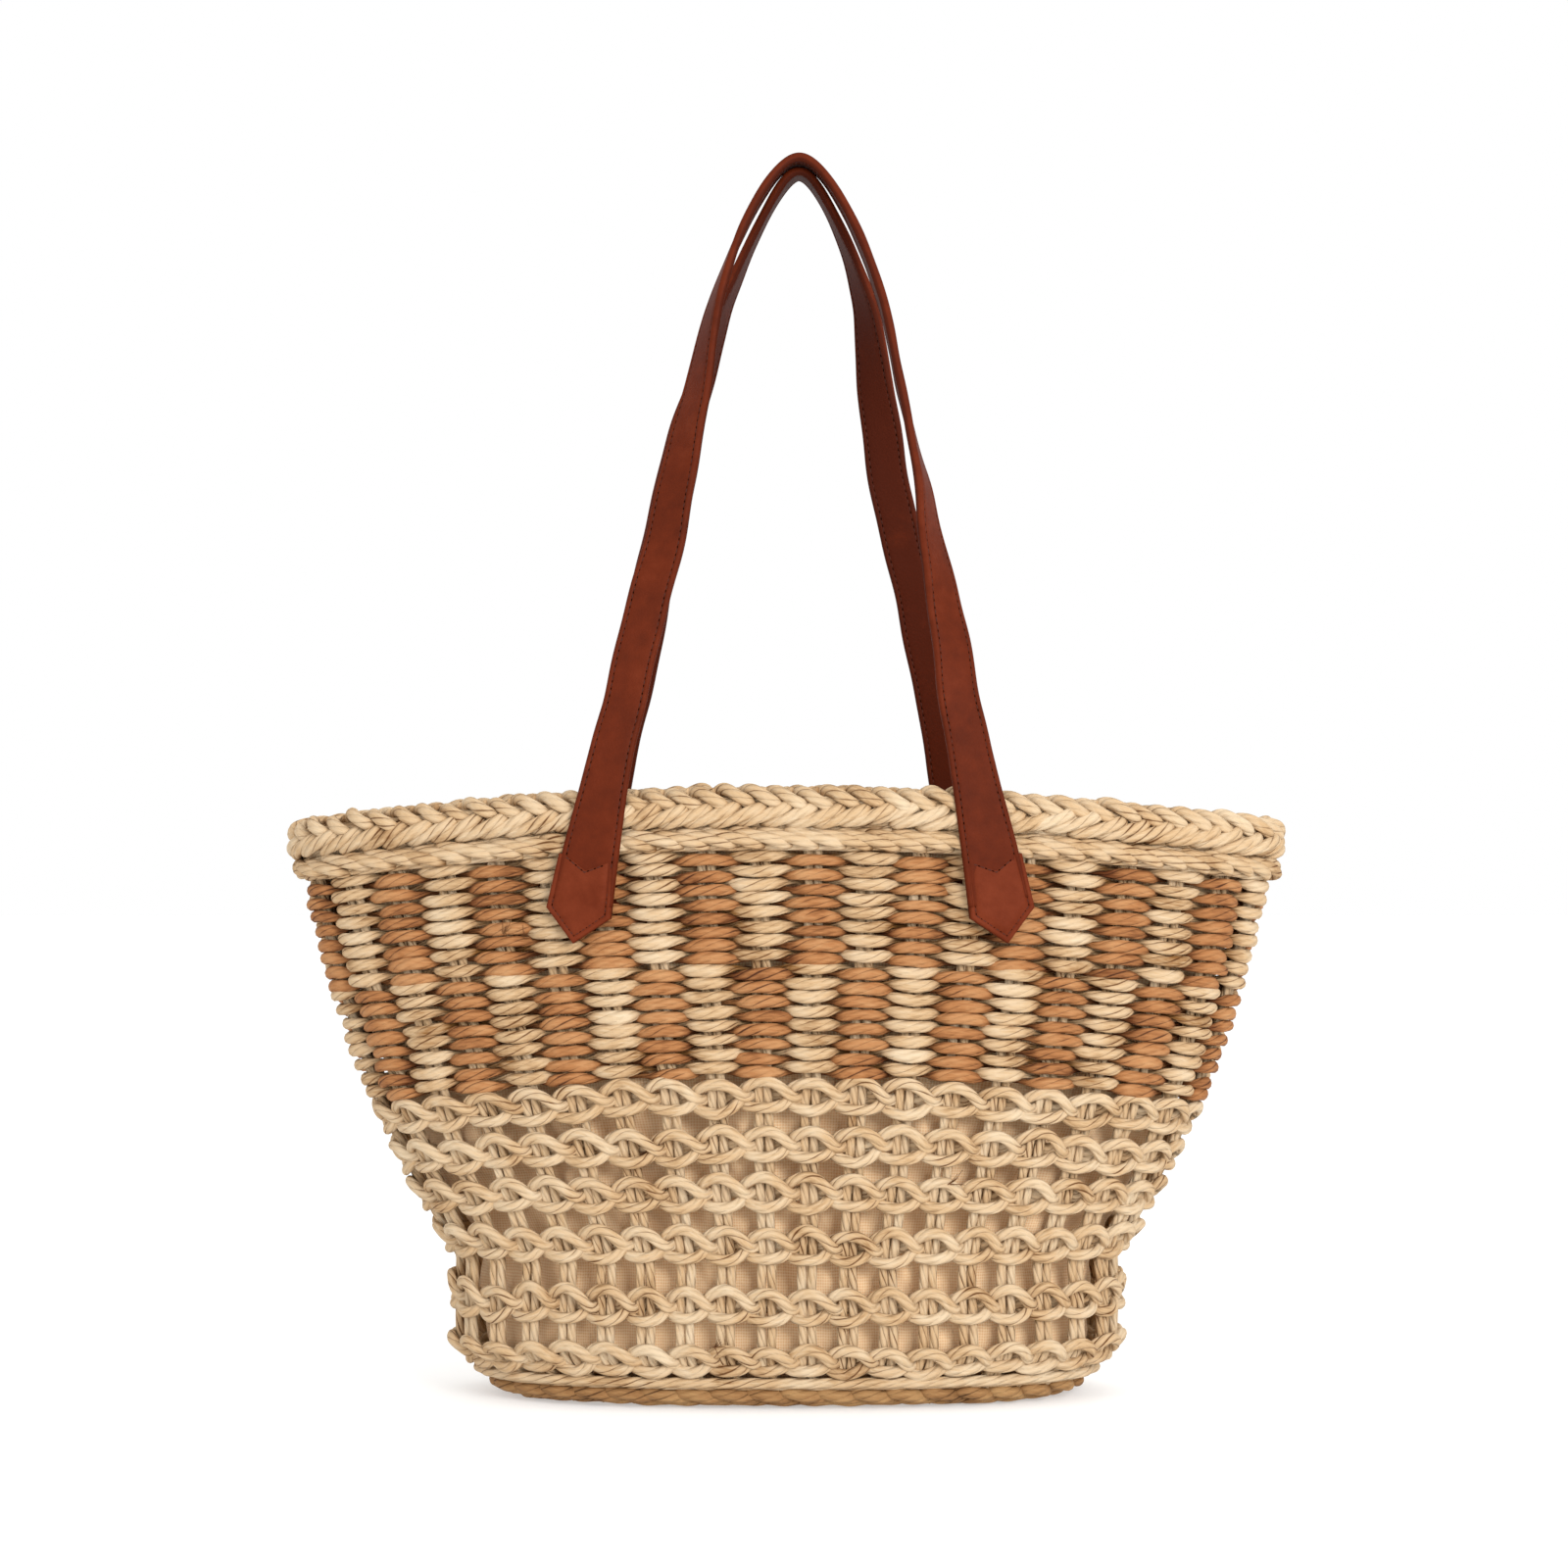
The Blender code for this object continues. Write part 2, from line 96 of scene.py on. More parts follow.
# Handles
STRAP_HALF_WIDTH = 0.0095
STRAP_THICKNESS = 0.0036
HINGE_HEIGHT = 0.2465
HINGE_HALF_SPACING = 0.0870
HINGE_CENTRE_X = {FRONT: 0.0015, BACK: -0.0030}
LOOP_RISE = {FRONT: 0.2866, BACK: 0.2816}
BEND = {FRONT: (0.0380, 0.0850), BACK: (0.0332, 0.0812)}  # half width and half height of the top oval
PINCH = {FRONT: (0.33, 0.070), BACK: (0.42, 0.0616)}  # share drawn in at the top, and from how far down
PINCH_BEND = 1.3
BOW = {FRONT: 0.0, BACK: -0.0080}  # sideways, most at half the loop's height
APEX_Y = 0.0045
APEX_SHIFT_X = 0.0055
# Heights above the rim between which each leg turns sideways.
TWISTS = {
    FRONT: ((0.060, 0.280), (0.006, 0.185)),
    BACK: ((0.130, 0.280), (0.060, 0.280)),
}
STRAP_OFFSET = 0.0068
TAB_LEAN = math.radians(10)
STITCH_INSET = 0.0025
STITCH_PITCH = 0.0034


# --- materials ----------------------------------------------------------------


def linear(hex_colour, alpha=1.0):
    """An sRGB hex colour as linear red, green, blue and alpha."""
    parts = [int(hex_colour[i : i + 2], 16) / 255 for i in (1, 3, 5)]
    return [c / 12.92 if c <= 0.04045 else ((c + 0.055) / 1.055) ** 2.4 for c in parts] + [alpha]


def add(tree, kind, links=None, inputs=None, stops=(), **settings):
    """A node with its settings, its fixed inputs, and links from other nodes' sockets. Stops are the
    (place, hex colour) pairs of a colour ramp."""
    node = tree.nodes.new("ShaderNode" + kind)
    for key, value in settings.items():
        setattr(node, key, value)
    for key, value in (inputs or {}).items():
        node.inputs[key].default_value = value
    for key, socket in (links or {}).items():
        tree.links.new(socket, node.inputs[key])
    for _ in stops[2:]:
        node.color_ramp.elements.new(0.5)
    for number, (place, colour) in enumerate(stops):
        node.color_ramp.elements[number].position = place
        node.color_ramp.elements[number].color = linear(colour)
    return node


def new_material(name, roughness, **sockets):
    """A material with one Principled shader, its tree and that shader."""
    made = bpy.data.materials.new(name)
    made.use_nodes = True
    shader = made.node_tree.nodes["Principled BSDF"]
    shader.inputs["Roughness"].default_value = roughness
    for key, value in sockets.items():
        shader.inputs[key.replace("_", " ")].default_value = value
    return made, made.node_tree, shader


def straw(name, groove_shade, deep, mid, light):
    """Twisted paper straw: dry, matte paper ribbon rolled into plies and twisted into a cord.

    Paper scatters light nearly evenly. Each fold of the ribbon shows as a fine streak about 0.5 mm wide
    along the ply. Painted shade darkens the groove between the plies towards the first colour, unevenly
    by patches, at the four places round the cord where cos(2 (angle - twist)) is 0.
    """
    made, tree, shader = new_material(name, 0.8, Specular_IOR_Level=0.25)
    uv = add(tree, "UVMap", uv_map="UVMap")
    across = add(tree, "SeparateXYZ", {"Vector": uv.outputs["UV"]})
    twist = add(tree, "Attribute", attribute_name="twist")
    turned = {0: across.outputs["Y"], 2: twist.outputs["Fac"]}
    angle = add(tree, "Math", turned, {1: 2 * math.pi}, operation="MULTIPLY_ADD")
    doubled = add(tree, "Math", {0: angle.outputs[0]}, {1: 2.0}, operation="MULTIPLY")
    cosine = add(tree, "Math", {0: doubled.outputs[0]}, operation="COSINE")
    lobe = add(tree, "Math", {0: cosine.outputs[0]}, operation="ABSOLUTE")
    along = add(tree, "Mapping", {"Vector": uv.outputs["UV"]}, {"Scale": (150.0, 11.0, 1.0)})
    fibres = {"Scale": 1.0, "Detail": 4.0, "Roughness": 0.6}
    streaks = add(tree, "TexNoise", {"Vector": along.outputs["Vector"]}, fibres)
    where = add(tree, "TexCoord")
    patches = add(tree, "TexNoise", {"Vector": where.outputs["Object"]}, {"Scale": 55.0, "Detail": 2.0})
    tone = add(tree, "Attribute", attribute_name="tone")
    mixed = add(tree, "Math", {0: streaks.outputs["Fac"], 1: patches.outputs["Fac"]}, operation="ADD")
    varied = add(tree, "Math", {0: tone.outputs["Fac"], 2: mixed.outputs[0]}, {1: 0.4}, operation="MULTIPLY_ADD")
    spread = add(tree, "MapRange", {"Value": varied.outputs[0]}, {"From Min": 0.60, "From Max": 1.60})
    stops = [(0.0, deep), (0.45, mid), (1.0, light)]
    colour = add(tree, "ValToRGB", {"Fac": spread.outputs["Result"]}, stops=stops)
    # Painted shade: the colour falls towards the first colour in the grooves between the plies, unevenly by
    # patches.
    uneven = add(tree, "Math", {0: patches.outputs["Fac"], 2: lobe.outputs[0]}, {1: 1.6}, operation="MULTIPLY_ADD")
    shade = add(tree, "MapRange", {"Value": uneven.outputs[0]}, {"From Min": 0.62, "From Max": 1.02})
    layers = {0: shade.outputs["Result"], 7: colour.outputs["Color"]}
    shaded = add(tree, "Mix", layers, {6: linear(groove_shade)}, data_type="RGBA")
    tree.links.new(shaded.outputs[2], shader.inputs["Base Color"])
    relief = add(tree, "Math", {0: lobe.outputs[0], 2: streaks.outputs["Fac"]}, {1: 0.9}, operation="MULTIPLY_ADD")
    bump = add(tree, "Bump", {"Height": relief.outputs[0]}, {"Strength": 0.8, "Distance": 0.0009})
    tree.links.new(bump.outputs["Normal"], shader.inputs["Normal"])
    return made


def cotton(name):
    """Unbleached tan cotton in plain weave: matte, with a little fuzz at grazing angles.

    Threads are 0.5 mm apart, drawn at 0.65 mm so that they show.
    """
    made, tree, shader = new_material(
        name, 0.9, Sheen_Weight=0.25, Sheen_Roughness=0.5, Specular_IOR_Level=0.2
    )
    uv = add(tree, "UVMap", uv_map="UVMap")
    threads = []
    for axis in ("X", "Y"):
        threads.append(
            add(tree, "TexWave", {"Vector": uv.outputs["UV"]}, {"Scale": 240.0, "Distortion": 1.2, "Detail": 1.0},
                wave_type="BANDS", bands_direction=axis)
        )
    weave = add(tree, "Math", {0: threads[0].outputs["Fac"], 1: threads[1].outputs["Fac"]}, operation="ADD")
    where = add(tree, "TexCoord")
    slubs = add(tree, "TexNoise", {"Vector": where.outputs["Object"]}, {"Scale": 60.0, "Detail": 4.0})
    height = add(tree, "Math", {0: slubs.outputs["Fac"], 2: weave.outputs[0]}, {1: 0.6}, operation="MULTIPLY_ADD")
    spread = add(tree, "MapRange", {"Value": height.outputs[0]}, {"From Min": 0.2, "From Max": 2.2})
    stops = [(0.0, "#e4b684"), (0.5, "#f3cda0"), (1.0, "#fadfb9")]
    colour = add(tree, "ValToRGB", {"Fac": spread.outputs["Result"]}, stops=stops)
    tree.links.new(colour.outputs["Color"], shader.inputs["Base Color"])
    bump = add(tree, "Bump", {"Height": height.outputs[0]}, {"Strength": 0.25, "Distance": 0.0002})
    tree.links.new(bump.outputs["Normal"], shader.inputs["Normal"])
    return made


def leather(name, deep, mid, light):
    """Red-brown coated leather: a smooth dull film over a fine pebble grain of about 0.9 mm, with soft
    creases. It is paler where the attribute tone is 1, and darker where it is below 0."""
    made, tree, shader = new_material(name, 0.6, Specular_IOR_Level=0.07)
    where = add(tree, "TexCoord")
    pebbles = add(tree, "TexVoronoi", {"Vector": where.outputs["Object"]}, {"Scale": 1100.0}, feature="SMOOTH_F1")
    clouds = add(tree, "TexNoise", {"Vector": where.outputs["Object"]}, {"Scale": 38.0, "Detail": 3.0})
    fine = {"Scale": 160.0, "Detail": 5.0, "Roughness": 0.65}
    creases = add(tree, "TexNoise", {"Vector": where.outputs["Object"]}, fine)
    both = {0: clouds.outputs["Fac"], 2: creases.outputs["Fac"]}
    blend = add(tree, "Math", both, {1: 1.2}, operation="MULTIPLY_ADD")
    tone = add(tree, "Attribute", attribute_name="tone")
    paler = add(tree, "Math", {0: tone.outputs["Fac"], 2: blend.outputs[0]}, {1: 0.5}, operation="MULTIPLY_ADD")
    spread = add(tree, "MapRange", {"Value": paler.outputs[0]}, {"From Min": 0.5, "From Max": 1.9})
    stops = [(0.0, deep), (0.5, mid), (1.0, light)]
    colour = add(tree, "ValToRGB", {"Fac": spread.outputs["Result"]}, stops=stops)
    tree.links.new(colour.outputs["Color"], shader.inputs["Base Color"])
    grain = {0: creases.outputs["Fac"], 2: pebbles.outputs["Distance"]}
    relief = add(tree, "Math", grain, {1: 0.9}, operation="MULTIPLY_ADD")
    bump = add(tree, "Bump", {"Height": relief.outputs[0]}, {"Strength": 0.35, "Distance": 0.0004})
    tree.links.new(bump.outputs["Normal"], shader.inputs["Normal"])
    return made


def waxed_thread(name):
    """Waxed polyester thread, laid in short stitches: a small highlight on each."""
    made, tree, shader = new_material(name, 0.6, Specular_IOR_Level=0.2)
    where = add(tree, "TexCoord")
    twist = add(tree, "TexNoise", {"Vector": where.outputs["Object"]}, {"Scale": 900.0, "Detail": 2.0})
    stops = [(0.2, "#34120a"), (0.8, "#4c2010")]
    colour = add(tree, "ValToRGB", {"Fac": twist.outputs["Fac"]}, stops=stops)
    tree.links.new(colour.outputs["Color"], shader.inputs["Base Color"])
    return made


# The first colour of each straw is painted shade for the grooves between its plies.
CREAM = straw("cream_paper_straw", "#5a3410", "#7f5527", "#b99a74", "#cab597")
BROWN = straw("brown_paper_straw", "#431f08", "#5f3110", "#9c683d", "#b5875b")
# SHADE is a dull tan a little darker than the brown straw: on the brown turning row it is partly its own colour
# and partly painted shade, and on the cream spokes under the base it is painted shade.
SHADE = straw("shaded_tan_paper_straw", "#40240a", "#553515", "#8e673f", "#a98558")
COTTON = cotton("tan_cotton_cloth")
LEATHER = leather("red_brown_coated_leather", "#401405", "#561e09", "#692b15")
THREAD = waxed_thread("waxed_thread")
# Painted shade for the needle holes: small nearly black marks sunk into the leather where each hole is in shadow.
HOLE_SHADE = new_material("needle_hole_shade", 1.0, Specular_IOR_Level=0.0, Base_Color=linear("#160703"))[0]


# --- meshes -------------------------------------------------------------------


def new_object(name, data):
    obj = bpy.data.objects.new(name, data)
    bpy.context.scene.collection.objects.link(obj)
    return obj


def make_piece(name, points, faces, look, slot, body=None, nodes=(), uv=None, **attributes):
    """A mesh object from arrays: points (n, 3), and faces as a list of index arrays of one width each.
    Further named arrays hold one value for each point."""
    mesh = bpy.data.meshes.new(name)
    mesh.vertices.add(len(points))
    mesh.vertices.foreach_set("co", np.ascontiguousarray(points, np.float32).ravel())
    corners = join([block.ravel() for block in faces])
    widths = join([np.full(len(block), block.shape[1]) for block in faces])
    mesh.loops.add(len(corners))
    mesh.loops.foreach_set("vertex_index", corners.astype(np.int32))
    mesh.polygons.add(len(widths))
    mesh.polygons.foreach_set("loop_start", join([[0], np.cumsum(widths)[:-1]]).astype(np.int32))
    mesh.update(calc_edges=True)
    if uv is not None:
        layer = mesh.uv_layers.new(name="UVMap")
        layer.data.foreach_set("uv", np.ascontiguousarray(uv, np.float32).ravel())
    for key, values in attributes.items():
        layer = mesh.attributes.new(key, "FLOAT", "POINT")
        layer.data.foreach_set("value", np.ascontiguousarray(values, np.float32).ravel())
    mesh.materials.append(look)
    mesh.shade_smooth()
    obj = new_object(name, mesh)
    if nodes:
        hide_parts(*nodes)
    if body:
        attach(obj, body)
    return obj


def unit(vectors):
    """Vectors of length one."""
    return vectors / np.maximum(np.linalg.norm(vectors, axis=-1, keepdims=True), 1e-12)


def way_along(line):
    """The distance from a line's first point to each of its points."""
    return join([[0], np.cumsum(np.linalg.norm(np.diff(line, axis=0), axis=1))])


def smoothed(line, times):
    """The line after a short moving average, times over."""
    for _ in range(times):
        line[1:-1] = (line[:-2] + 2 * line[1:-1] + line[2:]) / 4
    return line


def tube_quads(index):
    """Quads between the rows of a grid of points whose columns close into a ring."""
    corners = [index[:-1], index[1:], np.roll(index[1:], -1, 1), np.roll(index[:-1], -1, 1)]
    return np.stack(corners, -1).reshape(-1, 4)


def softened(values, width):
    """A closed row of values after a moving average in the shape of a bell, width samples wide."""
    count = values.shape[-1]
    reach = np.minimum(np.arange(count), count - np.arange(count))
    bell = np.exp(-0.5 * (reach / width) ** 2)
    return np.fft.irfft(np.fft.rfft(values) * np.fft.rfft(bell / bell.sum()), count)


def wave(at, keys, width=0.10):
    """A curve that repeats every 2 units through (place, value) keys: straight lines between the keys,
    then softened over width units."""
    samples = 400
    grid = np.linspace(-1, 1, samples, endpoint=False)
    places, values = zip(*keys)
    line = softened(np.interp(grid, places, values, period=2), width * samples / 2)
    return np.interp(np.asarray(at), grid, line, period=2)


def cord_arrays(paths, lean, radius, closed, flat, sides, ply, first):
    """Twisted cords along paths of shape (cords, points, 3), with their first point numbered first.

    Round each path runs a ring of radius r(1 + ply cos 2(angle - twist)), where twist grows evenly along
    the cord. The ring's first direction is the part of lean that is square to the path.
    """
    count, length = paths.shape[:2]
    if closed:
        along = unit(np.roll(paths, -1, 1) - np.roll(paths, 1, 1))
        steps = np.linalg.norm(np.roll(paths, -1, 1) - paths, axis=2)
    else:
        along = unit(np.gradient(paths, axis=1))
        steps = np.linalg.norm(np.diff(paths, axis=1, append=paths[:, -1:]), axis=2)
    side = unit(np.cross(along, lean))
    up = np.cross(side, along)
    whole = steps.sum(1, keepdims=True)
    way = join([np.zeros((count, 1)), np.cumsum(steps, 1)], 1)
    turns = np.maximum(1, np.round(whole / PLY_TURN))
    twist = -2 * np.pi * turns * way[:, :-1] / whole + random.uniform(0, ANY_PHASE, (count, 1))
    angle = np.linspace(0, 2 * np.pi, sides, endpoint=False)
    lobes = np.cos(2 * (angle - twist[..., None]))
    reach = np.broadcast_to(radius, (count, length))[..., None] * (1 + ply * lobes)
    points = paths[:, :, None] + up[:, :, None] * (reach * np.cos(angle) * flat[0])[..., None]
    points = points + side[:, :, None] * (reach * np.sin(angle) * flat[1])[..., None]

    index = first + np.arange(count * length * sides).reshape(count, length, sides)
    if closed:
        low, high = index, np.roll(index, -1, 1)
    else:
        low, high = index[:, :-1], index[:, 1:]
    quads = np.stack([low, np.roll(low, -1, 2), np.roll(high, -1, 2), high], -1).reshape(-1, 4)
    rows = low.shape[1]
    u_low, u_high = (np.broadcast_to(way[:, at : at + rows, None], low.shape) for at in (0, 1))
    v_low = np.broadcast_to(np.arange(sides) / sides, low.shape)
    v_high = v_low + 1 / sides
    uv = np.stack([u_low, v_low, u_low, v_high, u_high, v_high, u_high, v_low], -1).reshape(-1, 2)
    caps = np.zeros((0, sides), int)
    if not closed:
        caps = join([index[:, 0, ::-1], index[:, -1]])
    return points.reshape(-1, 3), quads, caps, uv, np.repeat(-twist.ravel(), sides)


def cords(name, sets, look, slot, body=None, nodes=(), sides=12, ply=PLY_DEPTH):
    """One piece from several sets of cords. A set is paths, lean, radius, closed, and how much the section
    is scaled along lean and across it. The tone drifts at random along each cord, and falls where the cord is
    thin, as painted shade where a strand dives behind the stakes."""
    made = []
    first = 0
    for paths, lean, radius, closed, flat in sets:
        arrays = cord_arrays(paths, lean, radius, closed, flat, sides, ply, first)
        count, length = paths.shape[:2]
        knots = random.uniform(0, 1, (count, max(2, length // TONE_POINTS)))
        place = np.linspace(0, knots.shape[1] - 1, length)
        tone = np.stack([np.interp(place, np.arange(knots.shape[1]), row) for row in knots])
        # Painted shade: the tone falls where the cord is thin, as where a woven strand dives behind the stakes.
        thin = 1 - np.broadcast_to(radius, (count, length)) / np.max(radius)
        made.append((*arrays, np.repeat((tone - THIN_DARKENS * thin).ravel(), sides)))
        first += len(arrays[0])
    points, quads, caps, uv, twist, tone = map(join, zip(*made))
    faces = [quads, caps] if len(caps) else [quads]
    uv = join([uv, np.zeros((caps.size, 2))])
    return make_piece(name, points, faces, look, slot, body, nodes, uv, twist=twist, tone=tone)


# --- the wall -----------------------------------------------------------------


def ease(low, high, value):
    """0 below low, 1 above high, and 3t^2 - 2t^3 between."""
    share = np.clip((value - low) / (high - low), 0, 1)
    return share * share * (3 - 2 * share)


def corner_share(height):
    """How far down the rounded corner a height is, from 0 at its top to 1 at the ground, bent."""
    return np.clip(1 - height / CORNER_HEIGHT, 0, 1) ** CORNER_BEND


def half_width(height):
    """Half the width of the stake line: it flares as 1 - (1 - rise) ** FLARE_BEND above the base."""
    rise = np.clip((height - FLARE_START) / (RIM_HEIGHT - FLARE_START), 0, 1)
    flare = 1 - (1 - rise) ** FLARE_BEND
    return BASE_HALF_WIDTH + (RIM_HALF_WIDTH - BASE_HALF_WIDTH) * flare - CORNER_INSET_X * corner_share(height)


def half_depth(height):
    return HALF_DEPTH - CORNER_INSET_Y * corner_share(height)


def roundness(height):
    """The power n of the outline |x / wide| ** n + |y / deep| ** n = 1 at this height."""
    return BASE_ROUNDNESS + (RIM_ROUNDNESS - BASE_ROUNDNESS) * min(height / RIM_HEIGHT, 1)


def even_oval(wide, deep, power, samples):
    """Points evenly spaced along |x / wide| ** n + |y / deep| ** n = 1, with n = 2 / power, from +X."""
    turn = np.linspace(0, 2 * np.pi, 4001)
    x = wide * np.sign(np.cos(turn)) * np.abs(np.cos(turn)) ** power
    y = deep * np.sign(np.sin(turn)) * np.abs(np.sin(turn)) ** power
    way = join([[0], np.cumsum(np.hypot(np.diff(x), np.diff(y)))])
    at = np.arange(samples) / samples * way[-1]
    return np.stack([np.interp(at, way, x), np.interp(at, way, y)], -1), way[-1]


OVAL_SAMPLES = 1440
OVAL_HEIGHTS = np.linspace(0, RIM_HEIGHT + 0.004, 120)


def oval_table():
    """The outline at each of OVAL_HEIGHTS, and its way round."""
    ovals, ways = [], []
    for height in OVAL_HEIGHTS:
        oval, way = even_oval(half_width(height), half_depth(height), 2 / roundness(height), OVAL_SAMPLES)
        ovals.append(oval)
        ways.append(way)
    return np.array(ovals), np.array(ways)


OVALS, WAYS = oval_table()


def wall(share, height, offset):
    """Points and outward directions at shares of the way round, heights, and offsets outwards.

    Each outline is even along its length. The upper wall dips towards its two ends as the square of x.
    """
    share, height, offset = np.broadcast_arrays(share, height, offset)
    level = np.clip(height / OVAL_HEIGHTS[-1], 0, 0.99999) * (len(OVAL_HEIGHTS) - 1)
    low = level.astype(int)
    part = (level - low)[..., None]

    def outline(places):
        place = (places % 1) * OVAL_SAMPLES
        before = place.astype(int) % OVAL_SAMPLES
        after = (before + 1) % OVAL_SAMPLES
        between = (place - np.floor(place))[..., None]
        lower = OVALS[low, before] * (1 - between) + OVALS[low, after] * between
        upper = OVALS[low + 1, before] * (1 - between) + OVALS[low + 1, after] * between
        return lower * (1 - part) + upper * part

    spot = outline(share)
    along = unit(outline(share + 0.002) - outline(share - 0.002))
    outward = np.stack([along[..., 1], -along[..., 0], np.zeros_like(share, float)], -1)
    dip_share = np.clip((height - FLARE_START) / (BAND_BOTTOM - FLARE_START), 0, 1)
    dip = END_DIP * dip_share * (spot[..., 0] / half_width(height)) ** 2
    points = np.stack([spot[..., 0], spot[..., 1], height - dip], -1) + outward * offset[..., None]
    return points, outward


def wall_way(height):
    """The way round the wall at this height, in metres."""
    return float(np.interp(height, OVAL_HEIGHTS, WAYS))


def per_stake(spread, rows=1):
    """A small random amount for each stake and row, even between stakes, as a function of stake places."""
    values = random.normal(0, spread, (rows, STAKES))

    def at(row, places):
        return np.interp(places, np.arange(STAKES + 1), np.append(values[row], values[row, 0]), period=STAKES)

    return at


STEPS = 14  # points along a cord for each stake it passes
ROUND = np.arange(STAKES * STEPS) / STEPS  # place round the bag, in stakes
PAST = ROUND - 0.5  # whole numbers at the middle of a stake
SHARE = ROUND / STAKES


def ring_set(height, offset, radius, flat=(1, 1)):
    """A closed cord round the wall, as a set for cords()."""
    points, outward = wall(SHARE, height, offset)
    return points[None], outward[None], radius, True, flat


# --- the weave ----------------------------------------------------------------


STRAND_RISE = 0.0008  # cream above the middle of its row, brown below
STRAND_SWING = 0.0043  # out in front of the stakes, and in behind them
STRAND_THIN, STRAND_SWELL = 0.0012, 0.0014


def chase_band(name, bottom, cream_first, node):
    """Eight rows of chase weave. In each row one strand passes outside the even stakes and one outside
    the odd ones, the cream one a little higher. A strand is thickest in front of a stake and pressed thin
    where it dives behind, and the rows' stitches are a little out of line."""
    sets = {"cream": [], "brown": []}
    bulge, lift = per_stake(0.00030, 2 * BAND_ROWS), per_stake(0.00045, 2 * BAND_ROWS)
    slip, size = per_stake(0.075, 2 * BAND_ROWS), per_stake(0.07, 2 * BAND_ROWS)
    for row in range(BAND_ROWS):
        middle = bottom + (row + 0.5) * BAND_ROW_PITCH
        for which, (colour, rise) in enumerate((("cream", STRAND_RISE), ("brown", -STRAND_RISE))):
            parity = (which == 0) != cream_first
            line = 2 * row + which
            swing = np.cos(np.pi * (PAST - parity + slip(line, PAST)))
            out = STAKE_CENTRE + STRAND_SWING * np.sign(swing) * np.abs(swing) ** 0.75 + bulge(line, PAST)
            height = middle + rise * (2.1 - 1.1 * np.abs(swing)) + lift(line, PAST)
            radius = (STRAND_THIN + STRAND_SWELL * ease(-0.35, 0.8, swing)) * (1 + size(line, PAST))
            sets[colour].append(ring_set(height, out, radius, WOVEN_FLAT))
    for colour, look in (("cream", CREAM), ("brown", BROWN)):
        cords(f"{name}_{colour}", sets[colour], look, "checked_straw", "basket", [node], sides=10)


# Lace rows: height above the row's middle and distance out from the stakes' middle, in millimetres, as a
# strand goes from behind one stake (-1) to the front of the next (0) and behind again (1).
UPPER_RISE = (
    (-1.0, 2.2), (-0.62, -0.6), (-0.36, 4.4), (-0.1, 6.6), (0.12, 6.6), (0.36, 4.0), (0.62, -1.8), (0.8, -0.8)
)
UPPER_OUT = ((-1.0, -3.9), (-0.62, -1.4), (-0.36, 2.2), (0.0, 4.0), (0.36, 4.6), (0.62, 3.2), (0.8, -1.8))
LOWER_RISE = ((-1.0, -2.2), (-0.62, -1.0), (-0.36, -5.4), (0.0, -6.6), (0.36, -5.2), (0.6, -1.0), (0.8, -0.8))
LOWER_OUT = ((-1.0, -3.9), (-0.62, -2.8), (-0.36, 1.6), (0.0, 3.8), (0.36, 3.2), (0.6, 0.6), (0.8, -2.6))


def twined_row(name, middle, opening, radius, node):
    """Two pairs of strands that twine over and under, and part round each stake to leave an eye.

    opening scales the height of the eye.
    """
    sets = []
    lift, bulge, slip = per_stake(0.0005, 4), per_stake(0.0004, 4), per_stake(0.035, 4)
    sag = per_stake(0.0007)
    for pair, (rises, outs) in enumerate(((UPPER_RISE, UPPER_OUT), (LOWER_RISE, LOWER_OUT))):
        for parity in (0, 1):
            row = 2 * pair + parity
            at = PAST - parity + slip(row, PAST)
            height = middle + MM * opening * wave(at, rises, 0.08) + lift(row, PAST) + sag(0, PAST)
            out = STAKE_CENTRE + MM * wave(at, outs) + bulge(row, PAST)
            sets.append(ring_set(height, out, radius, WOVEN_FLAT))
    cords(name, sets, CREAM, "cream_straw", "basket", [node])


STAKE_FOOT = 0.0025
STAKE_END = RIM_HEIGHT - 0.0147


def stakes():
    """Forty upright pairs of cords, from under the base's edge to the rim."""
    heights = np.linspace(STAKE_FOOT, STAKE_END, 118)
    places = (np.arange(STAKES) + 0.5) / STAKES
    ways = np.interp(heights, OVAL_HEIGHTS, WAYS)
    paths, leans = [], []
    for side in (-1, 1):
        sway = random.uniform(0, ANY_PHASE, (STAKES, 1))
        wander = 0.0003 * np.sin(heights * 95 + sway)
        share = places[:, None] + (side * STAKE_PAIR_SPREAD / 2 + wander) / ways
        points, outward = wall(share, heights, STAKE_CENTRE)
        paths.append(points)
        leans.append(outward)
    nodes = [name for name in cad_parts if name.startswith("stakes_")]
    sets = [(join(paths), join(leans), STAKE_CORD_RADIUS, False, (1, 1))]
    cords("stake_cords", sets, CREAM, "cream_straw", "basket", nodes, sides=9)


def through(keys, samples):
    """A smooth open line through keys: even steps along straight lines, then smoothed."""
    keys = np.array(keys, float)
    way = way_along(keys)
    at = np.linspace(0, way[-1], samples)
    return smoothed(np.stack([np.interp(at, way, column) for column in keys.T], -1), 3)


RIM_STITCHES = 84
STITCH_FLAT = (0.95, 1.05)
STITCH_END = 0.62  # radius at a short cord's ends, as a share of its full radius


